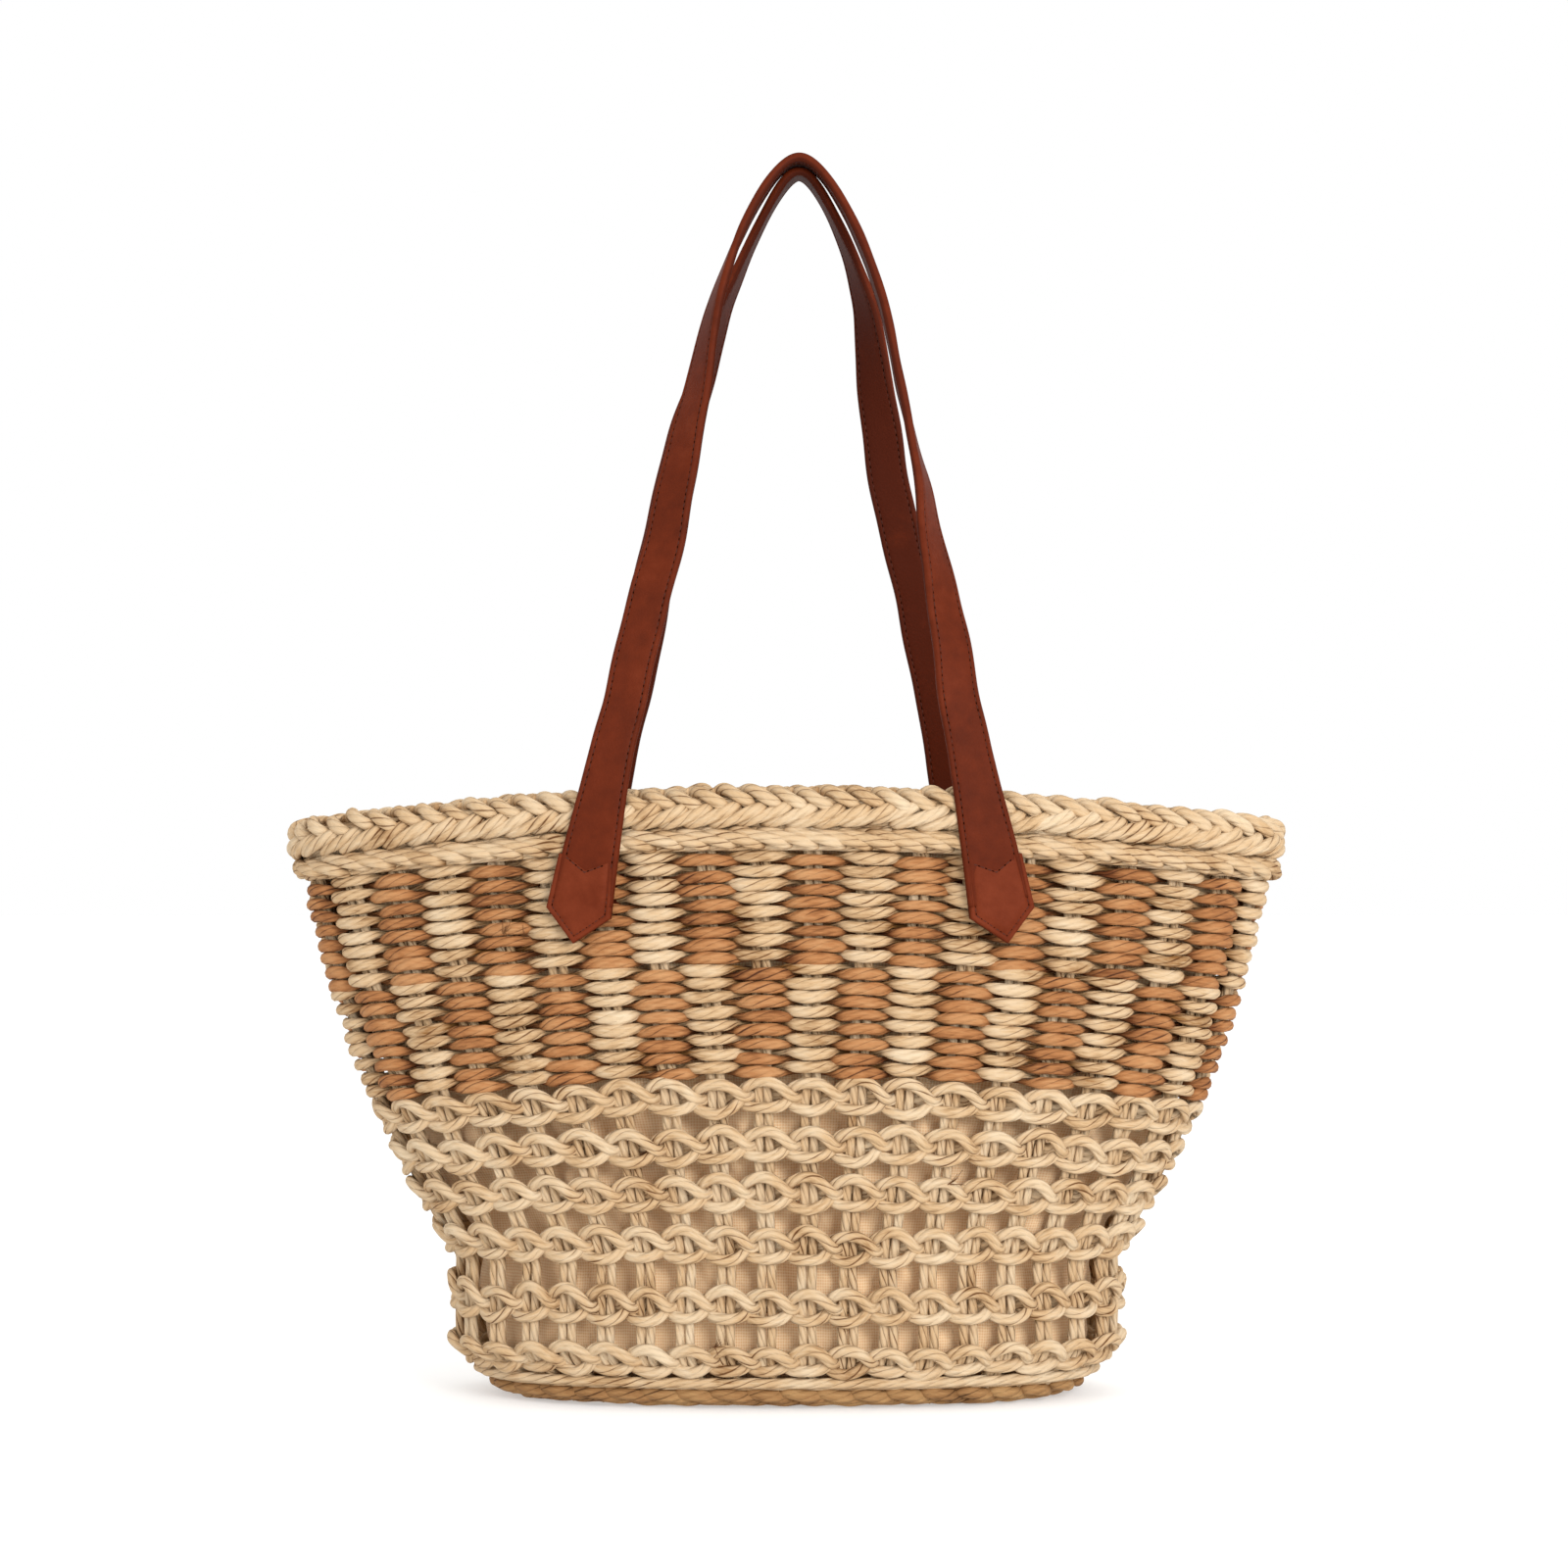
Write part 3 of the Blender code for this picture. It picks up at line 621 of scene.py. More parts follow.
def stitch_set(keys, radius, datum=0.0, count=RIM_STITCHES, shift=0.0, samples=17, jitter=0.0002):
    """The same short cord at count even places round the wall. keys are (along, above datum, out) in mm,
    and jitter is the random spread of their heights and offsets."""
    line = through(keys, samples) * MM
    share = (np.arange(count)[:, None] + shift) / count + line[:, 0] / wall_way(datum + line[:, 1].mean())
    height = datum + line[:, 1] + random.normal(0, jitter, (count, 1))
    points, outward = wall(share, height, line[:, 2] + random.normal(0, jitter, (count, 1)))
    swell = np.sin(np.linspace(0, np.pi, samples)) / 0.4
    taper = np.minimum(1, STITCH_END + (1 - STITCH_END) * swell)
    lean = outward + np.array([0, 0, 0.35])
    return points, lean, radius * taper, False, STITCH_FLAT


def rim():
    """The braid that closes the rim over three core cords, and the long slanted stitches below it."""
    upper = (
        (-10, -3.8, -4.8), (-7.5, 0.2, -3.2), (-4, 0.9, 0.8), (0, -1.6, 4.8), (5, -4.6, 5.9), (8.5, -6.6, 3.2)
    )
    lower = (
        (-13, -13.2, 0.8), (-9, -12.8, 3.8), (-2, -11.2, 5.6), (5, -8.4, 6.0), (9.5, -6.4, 5.2), (12, -5.6, 1.8)
    )
    inner = ((-9, -7.5, -1.5), (-5, -6.0, -5.0), (0, -2.8, -5.8), (5, 0.0, -4.6), (9, 0.8, -1.0))
    sets = [
        stitch_set(upper, 0.0027, RIM_HEIGHT, jitter=0.0006),
        stitch_set(lower, 0.0027, RIM_HEIGHT, shift=0.15, jitter=0.0006),
        stitch_set(inner, 0.0022, RIM_HEIGHT, shift=0.4),
        ring_set(RIM_HEIGHT - 0.0090, 0.0010, 0.0032),
        ring_set(RIM_HEIGHT - 0.0046, 0.0004, 0.0028),
        ring_set(RIM_HEIGHT - 0.0030, -0.0026, 0.0024),
        ring_set(RIM_HEIGHT - 0.0090, -0.0030, 0.0026),
    ]
    cords("rim_braid_cords", sets, CREAM, "cream_straw", "basket", ["rim_braid"])
    slanted = (
        (-15, -17.2, -0.6), (-10, -17.2, 2.4), (-3, -18.6, 4.4),
        (5, -20.8, 5.6), (10, -22.4, 5.0), (13.5, -23.4, 1.2),
    )
    behind = ((-10, -24.8, -5.6), (-3, -23.0, -7.0), (4, -19.6, -7.0), (10, -17.0, -5.4))
    sets = [
        stitch_set(slanted, 0.0025, RIM_HEIGHT, count=RIM_STITCHES - 4, samples=21, jitter=0.0004),
        stitch_set(behind, 0.0021, RIM_HEIGHT, count=RIM_STITCHES // 2, shift=0.5),
        ring_set(RIM_HEIGHT - 0.0235, 0.0008, 0.0020),
        ring_set(RIM_HEIGHT - 0.0170, 0.0004, 0.0022),
        ring_set(RIM_HEIGHT - 0.0132, -0.0008, 0.0024),
    ]
    cords("rim_row_cords", sets, CREAM, "cream_straw", "basket", ["rim_row"])


def base_border():
    """The twined row, the thin smooth row and the scalloped turning row at the foot of the wall."""
    twined_row("base_twined_cords", 0.0220, 0.78, 0.0025, "base_twined_row")
    ripple = 0.0005 * np.cos(2 * np.pi * PAST)
    smooth = [ring_set(0.0123, 0.0018 + ripple, 0.0023, (0.9, 1.0)), ring_set(0.0108, -0.0004, 0.0020)]
    cords("base_smooth_cord", smooth, CREAM, "cream_straw", "basket", ["base_long_stitch_row"])
    scallop = ((-11, 7.9, -2.0), (-7, 7.6, 1.4), (0, 6.3, 3.0), (7, 5.3, 1.2), (11, 4.8, -3.0))
    under = ((-11, 4.2, -4.0), (-6, 3.9, -0.6), (0, 3.6, 0.2), (6, 3.9, -0.8), (11, 4.2, -4.0))
    sets = [
        stitch_set(scallop, 0.0029, count=STAKES, shift=0.5, samples=15),
        stitch_set(under, 0.0026, count=STAKES, shift=0.9, samples=15),
        ring_set(0.0066, -0.0020, 0.0030),
        ring_set(0.0050, -0.0052, 0.0026),
    ]
    # The turning row is drawn in SHADE: partly its own brown, partly painted shade at the foot of the wall.
    cords("base_turning_cords", sets, SHADE, "brown_straw", "basket", ["base_turn_row"])


BASE_RINGS = 9
BASE_RING_PITCH = 0.0047
BASE_MIDDLE_HEIGHT = 0.0034
BASE_SWING = 0.0015
BASE_STEPS = 8  # points along a ring for each stake


def base_weave():
    """The underside: rings woven over and under the stakes, each set in from the last by one pitch, and
    the stakes running in between them."""
    wide, deep, power = half_width(0.0) - 0.001, half_depth(0.0) - 0.001, 2 / BASE_ROUNDNESS
    places = np.arange(STAKES * BASE_STEPS) / BASE_STEPS - 0.5
    up = np.array([0.0, 0.0, 1.0])
    sets, spots = [], []
    for ring in range(BASE_RINGS):
        inset = (ring + 0.5) * BASE_RING_PITCH
        oval, _ = even_oval(wide - inset, deep - inset, power, STAKES * BASE_STEPS)
        swing = BASE_SWING * np.cos(np.pi * (places + ring))
        sets.append((np.column_stack([oval, BASE_MIDDLE_HEIGHT + swing])[None], up, 0.0019, True, (0.8, 1.1)))
        spots.append(oval[BASE_STEPS // 2 :: BASE_STEPS])
    cords("base_rings", sets, CREAM, "cream_straw", "basket", ["base_panel"], sides=6)
    spots = np.array(spots).transpose(1, 0, 2)
    fine = np.linspace(0, BASE_RINGS - 1, BASE_RINGS * 5)
    low = np.minimum(fine.astype(int), BASE_RINGS - 2)
    part = (fine - low)[:, None]
    spokes = spots[:, low] * (1 - part) + spots[:, low + 1] * part
    parity = (np.arange(STAKES) % 2)[:, None]
    swing = -BASE_SWING * 0.6 * np.cos(np.pi * (fine + parity))
    spokes = join([spokes, (BASE_MIDDLE_HEIGHT + swing)[..., None]], -1)
    sets = [(spokes, up, 0.0020, False, (0.7, 1.5))]
    # The cream spokes are drawn in SHADE, the darker tan: painted shade on the underside.
    cords("base_spokes", sets, SHADE, "cream_straw", "basket", ["base_panel"], sides=6)


# --- the lining ---------------------------------------------------------------

LINING_TOP = RIM_HEIGHT - 0.0185
LINING_FLOOR = 0.0112
LINING_OFFSET = -0.0100
CLOTH_THICKNESS = 0.0007
LEAST_GAP = -0.0088  # the cloth comes no nearer to the wall
HEM_HALF_DEPTH = 0.0042
MIDDLE_HEIGHT = 0.15
# Waves round the wall, how far they lean on the way down, and their size.
FOLDS = (
    (11, 1.6, 1.0), (19, -2.3, 0.8), (31, 3.1, 0.55), (7, 5.2, 0.7),
    (43, 7.4, 0.45), (17, -9.0, 0.6), (59, -11.0, 0.3),
)


def lining():
    """A cotton bag inside the wall. It follows the wall at a small distance, with upright folds and
    slack creases as a sum of sine waves of random phase, and is narrower than the wall at its two ends."""
    around, down, across = 480, 84, 16
    share = np.arange(around) / around
    fall = np.linspace(0, 1, down)[:, None]
    height = LINING_TOP + (LINING_FLOOR - LINING_TOP) * fall
    slack = np.sin(np.pi * np.clip(fall * 1.05, 0, 1)) ** 0.6
    folds = np.zeros((down, around))
    for waves, lean, size in FOLDS:
        folds += size * np.sin(2 * np.pi * (waves * share + lean * fall) + random.uniform(0, ANY_PHASE))
    ends = np.abs(np.cos(2 * np.pi * share)) ** 6 * np.clip(1.3 * fall - 0.3, 0, 1)
    offset = LINING_OFFSET + 0.0022 * folds * slack - 0.0030 * slack - 0.004 * ends
    points, _ = wall(share, height, np.minimum(offset, LEAST_GAP))
    inward = np.linspace(1, 0.04, across)[1:, None, None]
    floor = points[-1] * np.array([1, 1, 0]) * inward
    ripples = np.sin(floor[..., 0] * 90 + 1.3) * np.sin(floor[..., 1] * 120)
    floor[..., 2] = LINING_FLOOR + 0.0006 * (1 + ripples) * (1 - inward[..., 0])
    points = join([points, floor])
    index = np.arange(len(points) * around).reshape(-1, around)
    u = np.arange(around + 1) / around * wall_way(MIDDLE_HEIGHT)
    v = way_along(points[:, around // 4])
    corner_u = np.stack([u[:-1], u[:-1], u[1:], u[1:]], -1)
    corner_v = np.stack([v[:-1], v[1:], v[1:], v[:-1]], -1)
    uv = np.stack(np.broadcast_arrays(corner_u[None], corner_v[:, None]), -1).reshape(-1, 2)
    uv = join([uv, np.zeros((around, 2))])
    faces = [tube_quads(index), index[-1][None, ::-1]]
    nodes = ["lining_front", "lining_back", "lining_floor"]
    points = points.reshape(-1, 3)
    cloth = make_piece("lining_cloth", points, faces, COTTON, "cotton_lining", "basket", nodes, uv)
    shell = cloth.modifiers.new("thickness", "SOLIDIFY")
    shell.thickness = CLOTH_THICKNESS
    hem_set = [ring_set(LINING_TOP - 0.0002, LEAST_GAP, HEM_HALF_DEPTH, (0.26, 1.0))]
    hem = cords("lining_hem_fold", hem_set, COTTON, "cotton_lining", "basket", ["lining_hem"], ply=0.0)


# --- the handles --------------------------------------------------------------


def wall_line(height, across):
    """The stake line's distance from the middle plane, and its slope, at a distance across."""
    wide, deep = float(half_width(height)), float(half_depth(height))
    power = roundness(height)
    share = abs(across) / wide
    rest = 1 - share**power
    return deep * rest ** (1 / power), deep / wide * share ** (power - 1) * rest ** (1 / power - 1)


def wall_turn(across):
    """How far the wall faces away from straight front, where a handle is sewn on."""
    return math.atan(wall_line(HINGE_HEIGHT, across)[1])


def wall_line_y(across):
    return max(wall_line(height, across)[0] for height in np.linspace(HINGE_HEIGHT - 0.041, RIM_HEIGHT, 9))


STRAP_STEP = 0.0018
STRAP_FOOT = 0.2240
SMOOTHING = 10
STRAP_SEAM_START = 0.0180
SLOW_SWAY, FAST_SWAY = 0.0004, 0.0003
# The strap is widest where it is sewn on: heights, and its half width at each.
WIDTH_HEIGHTS = (0.218, HINGE_HEIGHT, 0.272, 0.290, 0.310)
HALF_WIDTHS = (0.0139, 0.0125, 0.0107, 0.0099, STRAP_HALF_WIDTH)


def strap_line(which):
    """The middle of a strap, its outward direction and its half width, evenly from end to end.

    As seen from the front each leg is straight and leans in above the rim, and both touch the half oval
    that the top of the loop follows. Then the top is pinched, and each leg bows and sways a little.
    """
    rise, (bend_width, bend_height) = LOOP_RISE[which], BEND[which]
    turned = 1 if which == FRONT else -1
    shift, bow, centre = turned * APEX_SHIFT_X, turned * BOW[which], turned * HINGE_CENTRE_X[which]
    middle_height = RIM_HEIGHT + rise - bend_height
    away, below = HINGE_HALF_SPACING / bend_width, (HINGE_HEIGHT - middle_height) / bend_height
    first = math.atan2(below, away) + math.acos(1 / math.hypot(away, below))
    leg_top = middle_height + bend_height * math.sin(first)
    slope = (HINGE_HALF_SPACING - bend_width * math.cos(first)) / (leg_top - HINGE_HEIGHT)
    leg = np.arange(STRAP_FOOT, leg_top, STRAP_STEP)
    turn = np.linspace(math.pi - first, first, 100)[1:-1]
    lean_in = np.where(leg < HINGE_HEIGHT, math.tan(TAB_LEAN), slope)
    spacing = HINGE_HALF_SPACING - lean_in * (leg - HINGE_HEIGHT)
    x = join([-spacing, bend_width * np.cos(turn), spacing[::-1]])
    z = join([leg, middle_height + bend_height * np.sin(turn), leg[::-1]])
    lean = np.clip((z - RIM_HEIGHT) / rise, 0, None)
    side = np.sign(x)
    pinch, depth = PINCH[which]
    x = x * (1 - pinch * np.clip(1 - rise * (1 - lean) / depth, 0, None) ** PINCH_BEND)
    x = x + centre + (shift - centre) * ease(0, 0.5, lean) + bow * np.sin(np.pi * np.minimum(lean, 1)) ** 3
    sway = SLOW_SWAY * np.sin(z * 88 + 1.7 * side + turned) + FAST_SWAY * np.sin(z * 171 + side)
    x = x + sway * ease(0.02, 0.15, lean) * (1 - ease(0.55, 0.8, lean))
    out = STRAP_OFFSET - 0.0012 * (1 - ease(0.228, HINGE_HEIGHT, z)) + STRAP_THICKNESS / 2 + 0.0002
    start = wall_line_y(HINGE_HALF_SPACING - abs(centre)) + out
    y = -(start + (APEX_Y - start) * lean)
    # Each leg's share of its turn from facing out to facing sideways, in the plane of the loop.
    left_leg, right_leg = (ease(low, high, z - RIM_HEIGHT) for low, high in TWISTS[which])
    eased = np.where(side < 0, left_leg, right_leg)
    faces_out = wall_turn(HINGE_HALF_SPACING)
    angle = faces_out + (math.pi / 2 - faces_out) * eased
    flat = np.ones_like(leg)
    sideways = join([-flat, np.cos(turn) / bend_width, flat])
    up = join([flat * slope, np.sin(turn) / bend_height, flat * slope])
    in_plane = unit(np.stack([sideways, 0 * up, up], -1))
    outward = in_plane * np.sin(angle)[:, None] + np.array([0, -1, 0]) * np.cos(angle)[:, None]
    middle = smoothed(np.stack([x, y, z], -1), SMOOTHING)
    outward = smoothed(outward, SMOOTHING)
    half = np.interp(z, WIDTH_HEIGHTS, HALF_WIDTHS)
    if which == BACK:
        middle, outward = middle * [-1, -1, 1], outward * [-1, -1, 1]
    return middle, outward, half


# The strap's section: distance in from its edge, and height over its middle plane, in millimetres. The
# edge is turned and stands a little proud, and the seam pulls a shallow groove.
EDGE = (
    (0.0, 0.0), (0.12, 0.85), (0.5, 1.55), (1.0, 1.92), (1.6, 1.98),
    (2.05, 1.78), (2.4, 1.52), (2.8, 1.72), (3.4, 1.84), (5.5, 1.82),
)
INNER_TONE = -1.4  # the side of a strap that faces into the loop is darker
THREAD_HEIGHT = 0.00158


def strap_frame(which):
    """A strap's middle line with its outward and sideways directions, half width and way along."""
    middle, outward, half = strap_line(which)
    along = unit(np.gradient(middle, axis=0))
    normal = unit(outward - along * (outward * along).sum(-1, keepdims=True))
    across = np.cross(along, normal)
    return middle, normal, across, half, way_along(middle)


def strap(which):
    """A strap of two leathers sewn back to back: the EDGE section, both sides of both faces, carried
    along the strap's line."""
    middle, normal, across, half, way = strap_frame(which)
    edge = np.array(EDGE) * MM
    face = join([edge, [[0.0, 0.0]], edge[::-1]])
    signs = join([-np.ones(len(edge)), [0], np.ones(len(edge))])
    reach = signs * (half[:, None] - face[:, 0])
    rise = np.broadcast_to(face[:, 1], reach.shape).copy()
    rise[:, len(edge)] = edge[-1, 1]
    swell = 0.00010 * np.sin(way * 210 + 1.0) * np.sin(way * 57)
    rise = rise * (STRAP_THICKNESS / 2 / 0.0018) + swell[:, None] * (rise > 0.0012)
    reach = join([reach, reach[:, -2:0:-1]], 1)
    rise = join([rise, -rise[:, -2:0:-1]], 1)
    points = middle[:, None] + across[:, None] * reach[..., None] + normal[:, None] * rise[..., None]
    count, ring = reach.shape
    index = np.arange(count * ring).reshape(count, ring)
    faces = [tube_quads(index), np.stack([index[0], index[-1, ::-1]])]
    nodes = [f"{which}_strap_face", f"{which}_strap_backing"]
    tone = np.tile(np.where(np.arange(ring) < len(signs), 0.0, INNER_TONE), count)
    name = f"{which}_strap_leather"
    piece = make_piece(name, points.reshape(-1, 3), faces, LEATHER, "leather", None, nodes, tone=tone)

    seam_end = way[-1] - STRAP_SEAM_START
    marks = np.linspace(STRAP_SEAM_START, seam_end, round((way[-1] - 2 * STRAP_SEAM_START) / STITCH_PITCH))

    def along_strap(at, values):
        return np.stack([np.interp(at, way, column) for column in values.T], -1)

    lines = []
    for side in (-1, 1):
        for face_side in (-1, 1):
            def surface(at, side=side, face_side=face_side):
                reach = np.interp(at, way, half)[..., None] - STITCH_INSET
                place = along_strap(at, middle) + along_strap(at, across) * reach * side
                out = along_strap(at, normal) * face_side
                return place + out * THREAD_HEIGHT, out

            lines.append((surface, marks))
    made = [piece, *sewn(f"{which}_strap", lines)]
    for one in made:
        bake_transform(one)


def sewn(name, lines, body=None):
    """Stitches, and between them the needle holes as small nearly black marks of painted shade, at marks along
    lines. A line is a function from places to points and outward directions."""
    pieces = []
    for word, look, long, size, sink, shift in (
        ("stitches", THREAD, 0.0020, 0.00031, 0.00004, 0.0),
        # The needle holes are painted shade: nearly black marks sunk a little into the leather.
        ("needle_hole_shade", HOLE_SHADE, 0.0011, 0.00033, 0.00008, 0.5),
    ):
        sets = []
        for surface, marks in lines:
            middles = marks[:-1] + (marks[1:] - marks[:-1]) * shift
            places = middles[:, None] + np.linspace(-0.5, 0.5, 5) * long
            points, out = surface(places)
            sets.append((points - out * sink, out, size * np.array([0.4, 0.9, 1.0, 0.9, 0.4]), False, (1, 1)))
        pieces.append(cords(f"{name}_{word}", sets, look, "leather", body, sides=6, ply=0.0))
    return pieces


CAP_HALF_TOP = 0.0127
CAP_HALF_SHOULDER = 0.0144
CAP_EARS = 0.0034
CAP_NOTCH = 0.0086
TAB_SHOULDER = 0.0277
TAB_TIP = 0.0413
CAP_BACK = 0.0044
# Height over the stake line, in mm, by distance in from the sewn edge and from the notched one.
SEWN_EDGE = (
    (0, 8.6), (0.15, 9.35), (0.5, 9.85), (1.1, 10.1), (1.7, 10.05),
    (2.1, 9.8), (2.5, 9.6), (2.9, 9.9), (3.4, 10.5), (4.2, 10.7),
)
CUT_EDGE = ((0, 9.7), (0.12, 10.3), (0.4, 10.6), (0.8, 10.7))
EDGE_STEPS = np.array([0, 0.12, 0.3, 0.6, 1.0, 1.5, 1.9, 2.2, 2.5, 2.8, 3.2, 3.8]) * MM


def cap_half(down):
    """Half the patch's width at a distance below the hinge."""
    return CAP_HALF_TOP + (CAP_HALF_SHOULDER - CAP_HALF_TOP) * np.clip(down / TAB_SHOULDER, 0, 1)


def cap_top(across):
    """Distance of the patch's notched top below the hinge: a V between two ears."""
    ear = cap_half(CAP_EARS) - 0.0030
    return CAP_EARS + (CAP_NOTCH - CAP_EARS) * np.clip(1 - np.abs(across) / ear, 0, 1)


def off_line(across, down, start, end):
    """Distance from a straight line."""
    run = np.array(end) - start
    return np.abs((across - start[0]) * run[1] - (down - start[1]) * run[0]) / np.hypot(*run)


def cap_height(across, down):
    """Height of the patch's face over the stake line."""
    across = np.abs(across)
    shoulder, tip, ear = (CAP_HALF_SHOULDER, TAB_SHOULDER), (0, TAB_TIP), (cap_half(CAP_EARS), CAP_EARS)
    inset = np.minimum(off_line(across, down, ear, shoulder), off_line(across, down, shoulder, tip))
    rounded = np.interp(inset, *(np.array(SEWN_EDGE) * MM).T)
    return np.minimum(rounded, np.interp(down - cap_top(across), *(np.array(CUT_EDGE) * MM).T))


def tab_cap(which, word, side):
    """The pointed leather patch over a strap's end: a grid of places from its notched top to its point,
    with a turned edge, a sewn groove and two rows of stitches."""
    steps = EDGE_STEPS / CAP_HALF_SHOULDER - 1
    left = join([steps, np.linspace(steps[-1], 0, 8)[1:]])
    share = join([left, -left[-2::-1]])
    steps = EDGE_STEPS / 0.030
    fall = join([steps, np.linspace(steps[-1], 1 - steps[-1], 12)[1:-1], 1 - steps[::-1]])[:, None]
    high = cap_top(share * cap_half(0.006))
    low = TAB_TIP - (TAB_TIP - TAB_SHOULDER) * np.abs(share)
    down = high + (low - high) * fall
    across = share * cap_half(down)
    hinge_x = side * HINGE_HALF_SPACING + (1 if which == FRONT else -1) * HINGE_CENTRE_X[which]
    turn, lean = side * wall_turn(hinge_x), -side * TAB_LEAN
    place = np.array([hinge_x, -wall_line_y(hinge_x), HINGE_HEIGHT])

    def placed(across, down, height):
        u, v, out = across, -down, -height
        x, z = u * math.cos(lean) + v * math.sin(lean), -u * math.sin(lean) + v * math.cos(lean)
        x, y = x * math.cos(turn) - out * math.sin(turn), x * math.sin(turn) + out * math.cos(turn)
        points = np.stack([x, y, z], -1) + place
        return points if which == FRONT else points * [-1, -1, 1]

    face = placed(across, down, cap_height(across, down))
    back = placed(across, down, np.full(across.shape, CAP_BACK))
    rows, columns = across.shape
    index = np.arange(rows * columns).reshape(rows, columns)
    corners = [index[:-1, :-1], index[1:, :-1], index[1:, 1:], index[:-1, 1:]]
    front_quads = np.stack(corners, -1).reshape(-1, 4)
    edge = join([index[:-1, 0], index[-1, :-1], index[:0:-1, -1], index[0, :0:-1]])
    after = np.roll(edge, -1)
    under = index.size
    walls = np.stack([edge, edge + under, after + under, after], -1)
    quads = [front_quads, front_quads[:, ::-1] + under, walls]
    points = join([face.reshape(-1, 3), back.reshape(-1, 3)])
    name = f"{which}_{word}_tab"
    pale = join([np.ones(index.size), np.zeros(index.size)])
    make_piece(f"{name}_leather", points, quads, LEATHER, "leather", "basket", [name, f"{name}_cap"], tone=pale)

    slant = math.hypot(CAP_HALF_SHOULDER, TAB_TIP - TAB_SHOULDER) / CAP_HALF_SHOULDER * STITCH_INSET
    corner = CAP_HALF_SHOULDER - STITCH_INSET
    corner_down = TAB_TIP - slant - (TAB_TIP - TAB_SHOULDER) * corner / CAP_HALF_SHOULDER
    start = cap_half(CAP_EARS) - STITCH_INSET
    half_of_seam = [(start, CAP_EARS), (corner, corner_down)]
    outside = [(-u, v) for u, v in half_of_seam] + [(0, TAB_TIP - slant)] + half_of_seam[::-1]
    ear, below = start - 0.0012, 0.0010
    notch = [(-ear, CAP_EARS + below), (0, CAP_NOTCH + below), (ear, CAP_EARS + below)]
    lines = []
    for corners in (np.array(outside), np.array(notch)):
        way = way_along(corners)
        marks = np.linspace(0.0008, way[-1] - 0.0008, 1 + round(way[-1] / STITCH_PITCH))

        def surface(at, corners=corners, way=way):
            u, v = (np.interp(at, way, column) for column in corners.T)
            height = cap_height(u, v)
            points = placed(u, v, height)
            return points, unit(placed(u, v, height + 0.01) - points)

        lines.append((surface, marks))
    sewn(name, lines, "basket")


def leather_backings():
    """The patches inside the wall keep their shape from the frame."""
    for name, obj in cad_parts.items():
        if name.endswith("_backing") and "_tab" in name:
            for material_slot in obj.material_slots:
                material_slot.material = LEATHER


# --- loose ends ---------------------------------------------------------------


FRAYED_AT = ((0.6135, 0.2150), (0.6240, 0.2135), (0.7050, 0.0290), (0.8400, 0.1010))  # share round, height
FIBRES = 6


def loose_ends():
    """A few frayed cord ends that stand out of the weave, where strands were joined."""
    sets = []
    for share, height in FRAYED_AT:
        spread = random.normal(0, 1, (FIBRES, 3)) * [0.35, 0.4, 0.3]
        for dx, dz, dout in spread:
            reach = np.linspace(0, 1, 8)
            along = (0.5 + dx) * 0.007 * reach
            rise = dz * 0.006 * reach**2 + 0.002 * reach
            out = 0.0015 + (0.0055 + 0.002 * dout) * reach**0.7
            points, outward = wall(share + along / wall_way(height), height + rise, out)
            sets.append((points[None], outward[None], np.linspace(0.00045, 0.00018, 8), False, (1, 0.6)))
    cords("frayed_ends", sets, BROWN, "checked_straw", "basket", sides=5, ply=0.0)


# --- the stage ----------------------------------------------------------------


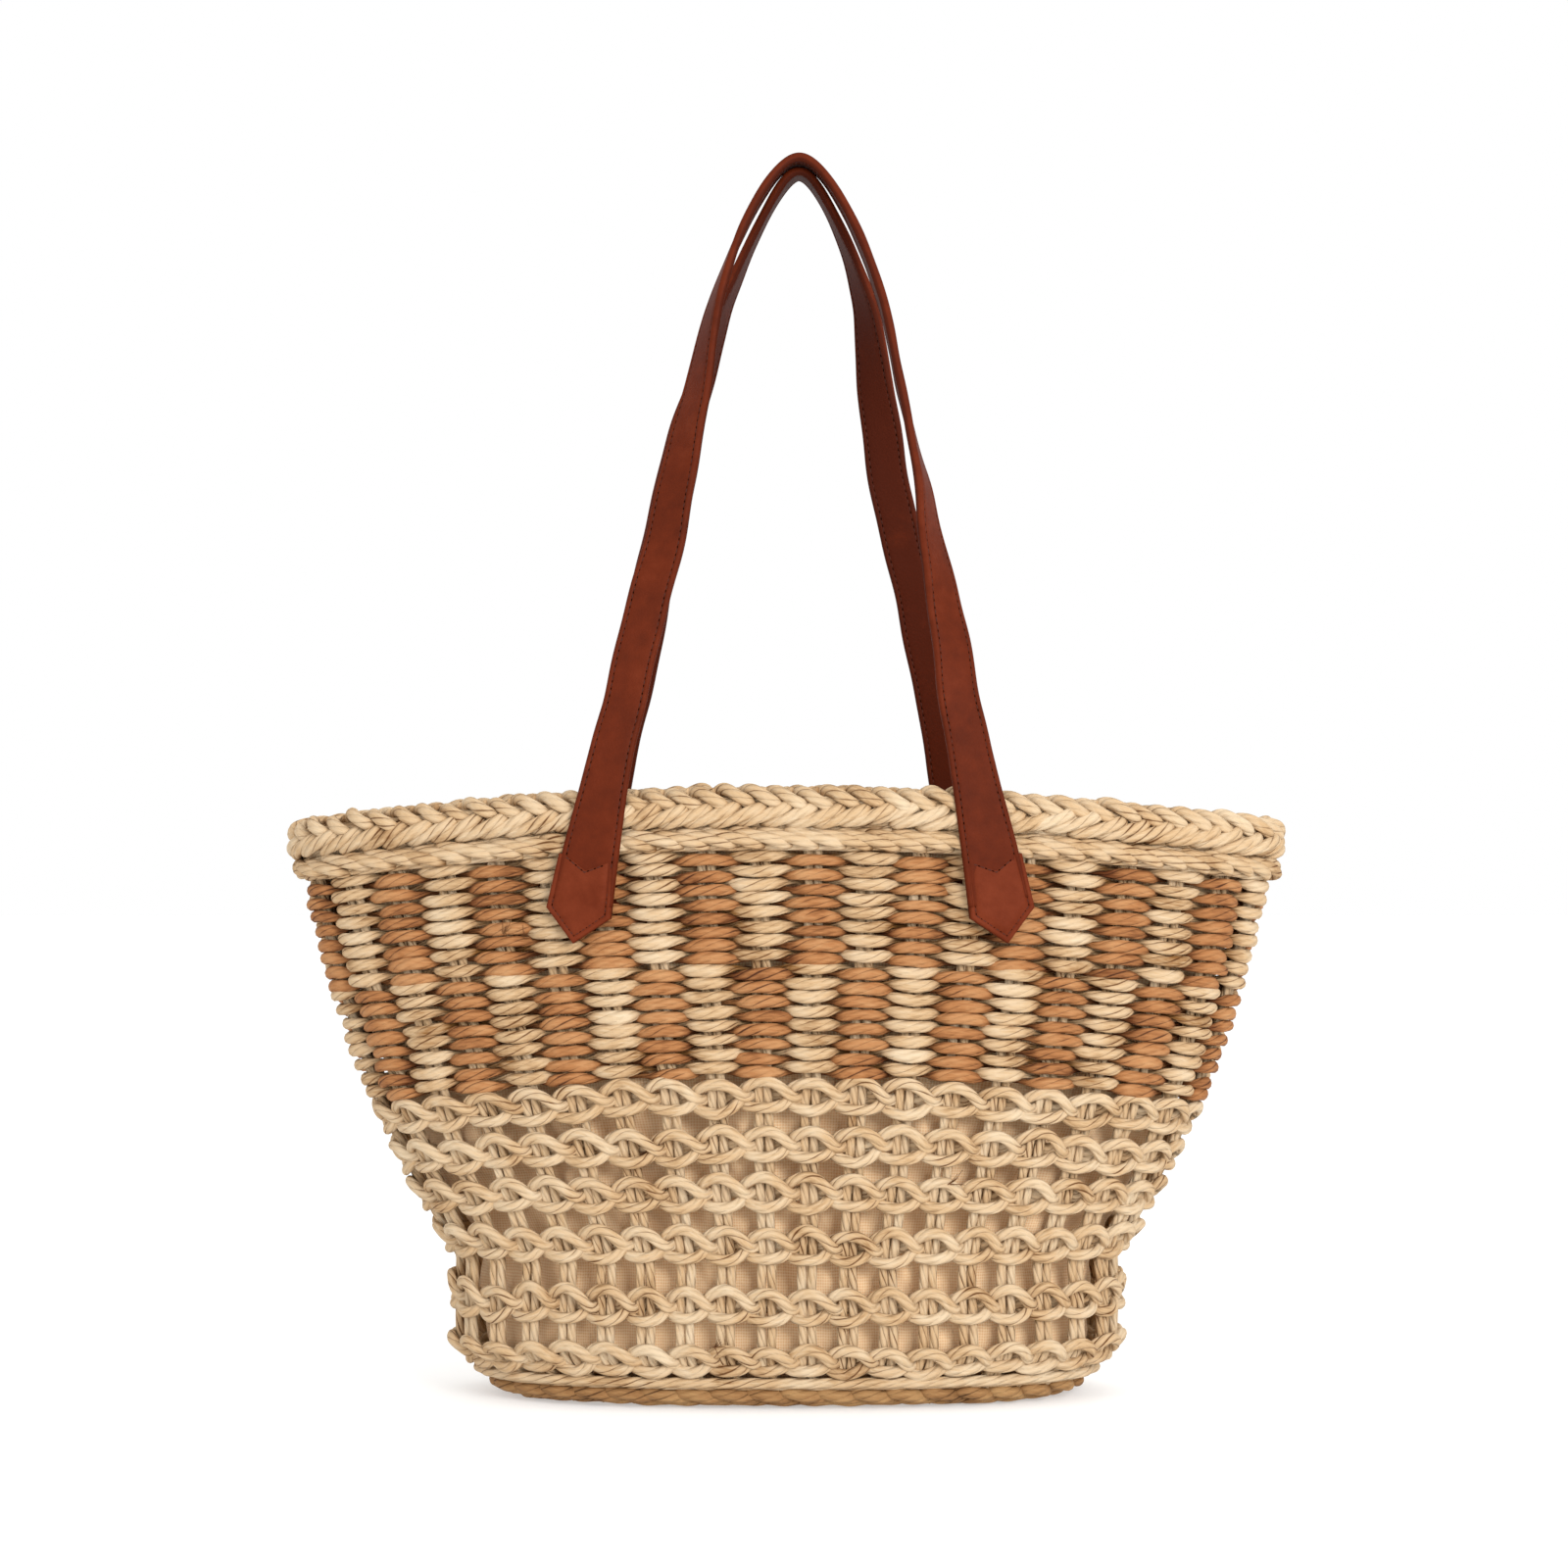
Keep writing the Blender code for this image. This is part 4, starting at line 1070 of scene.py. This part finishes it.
def stage():
    """A pale floor that glows a little and so keeps shadows faint, soft studio light, and a camera in front
    of the bag at about the height of its rim."""
    half = 6.0
    floor = bpy.data.meshes.new("floor")
    corners = [(-half, -half, 0), (half, -half, 0), (half, half, 0), (-half, half, 0)]
    floor.from_pydata(corners, [], [(0, 1, 2, 3)])
    glow = {"Emission_Color": linear("#ffffff"), "Emission_Strength": 0.4}
    floor.materials.append(new_material("pale_studio_floor", 0.9, Base_Color=linear("#cfcfce"), **glow)[0])
    floor_obj = new_object("floor", floor)

    world = bpy.data.worlds.new("studio")
    bpy.context.scene.world = world
    world.use_nodes = True
    background = world.node_tree.nodes["Background"]
    background.inputs["Color"].default_value = linear("#ffffff")
    background.inputs["Strength"].default_value = 1.0

    middle_of_bag = np.array([0, 0, 0.25])
    lights = (
        ("key", (1.1, -2.1, 1.0), 1.1, 44),
        ("fill", (-1.5, -1.8, 0.7), 1.6, 8),
        ("top", (0.2, 0.3, 2.2), 1.4, 8),
    )
    for name, place, size, power in lights:
        lamp = bpy.data.lights.new(name, "AREA")
        lamp.shape, lamp.size, lamp.energy = "SQUARE", size, power
        obj = new_object(name, lamp)
        obj.location = place
        aim = middle_of_bag - np.array(place)
        obj.rotation_euler = (math.atan2(math.hypot(aim[0], aim[1]), -aim[2]), 0, math.atan2(-aim[0], aim[1]))

    lens = bpy.data.cameras.new("camera")
    lens.lens, lens.sensor_width = 85, 36
    camera = new_object("camera", lens)
    camera.location = (-0.0013, -1.683, 0.2756)
    camera.rotation_euler = (math.radians(90), 0, 0)
    bpy.context.scene.camera = camera
    bpy.context.scene.view_settings.view_transform = "Standard"


def main():
    stage()
    chase_band("check_lower", BAND_BOTTOM, True, "check_band_lower")
    chase_band("check_upper", BAND_BOTTOM + BAND_ROWS * BAND_ROW_PITCH, False, "check_band_upper")
    for number, middle in enumerate(LACE_ROW_CENTRES, 1):
        twined_row(f"lace_cords_{number}", middle, 1.0, 0.0024, f"lace_row_{number}")
    stakes()
    rim()
    base_border()
    base_weave()
    lining()
    for which in (FRONT, BACK):
        strap(which)
        for word, side in (("left", -1), ("right", 1)):
            tab_cap(which, word, side)
    leather_backings()
    loose_ends()


main()
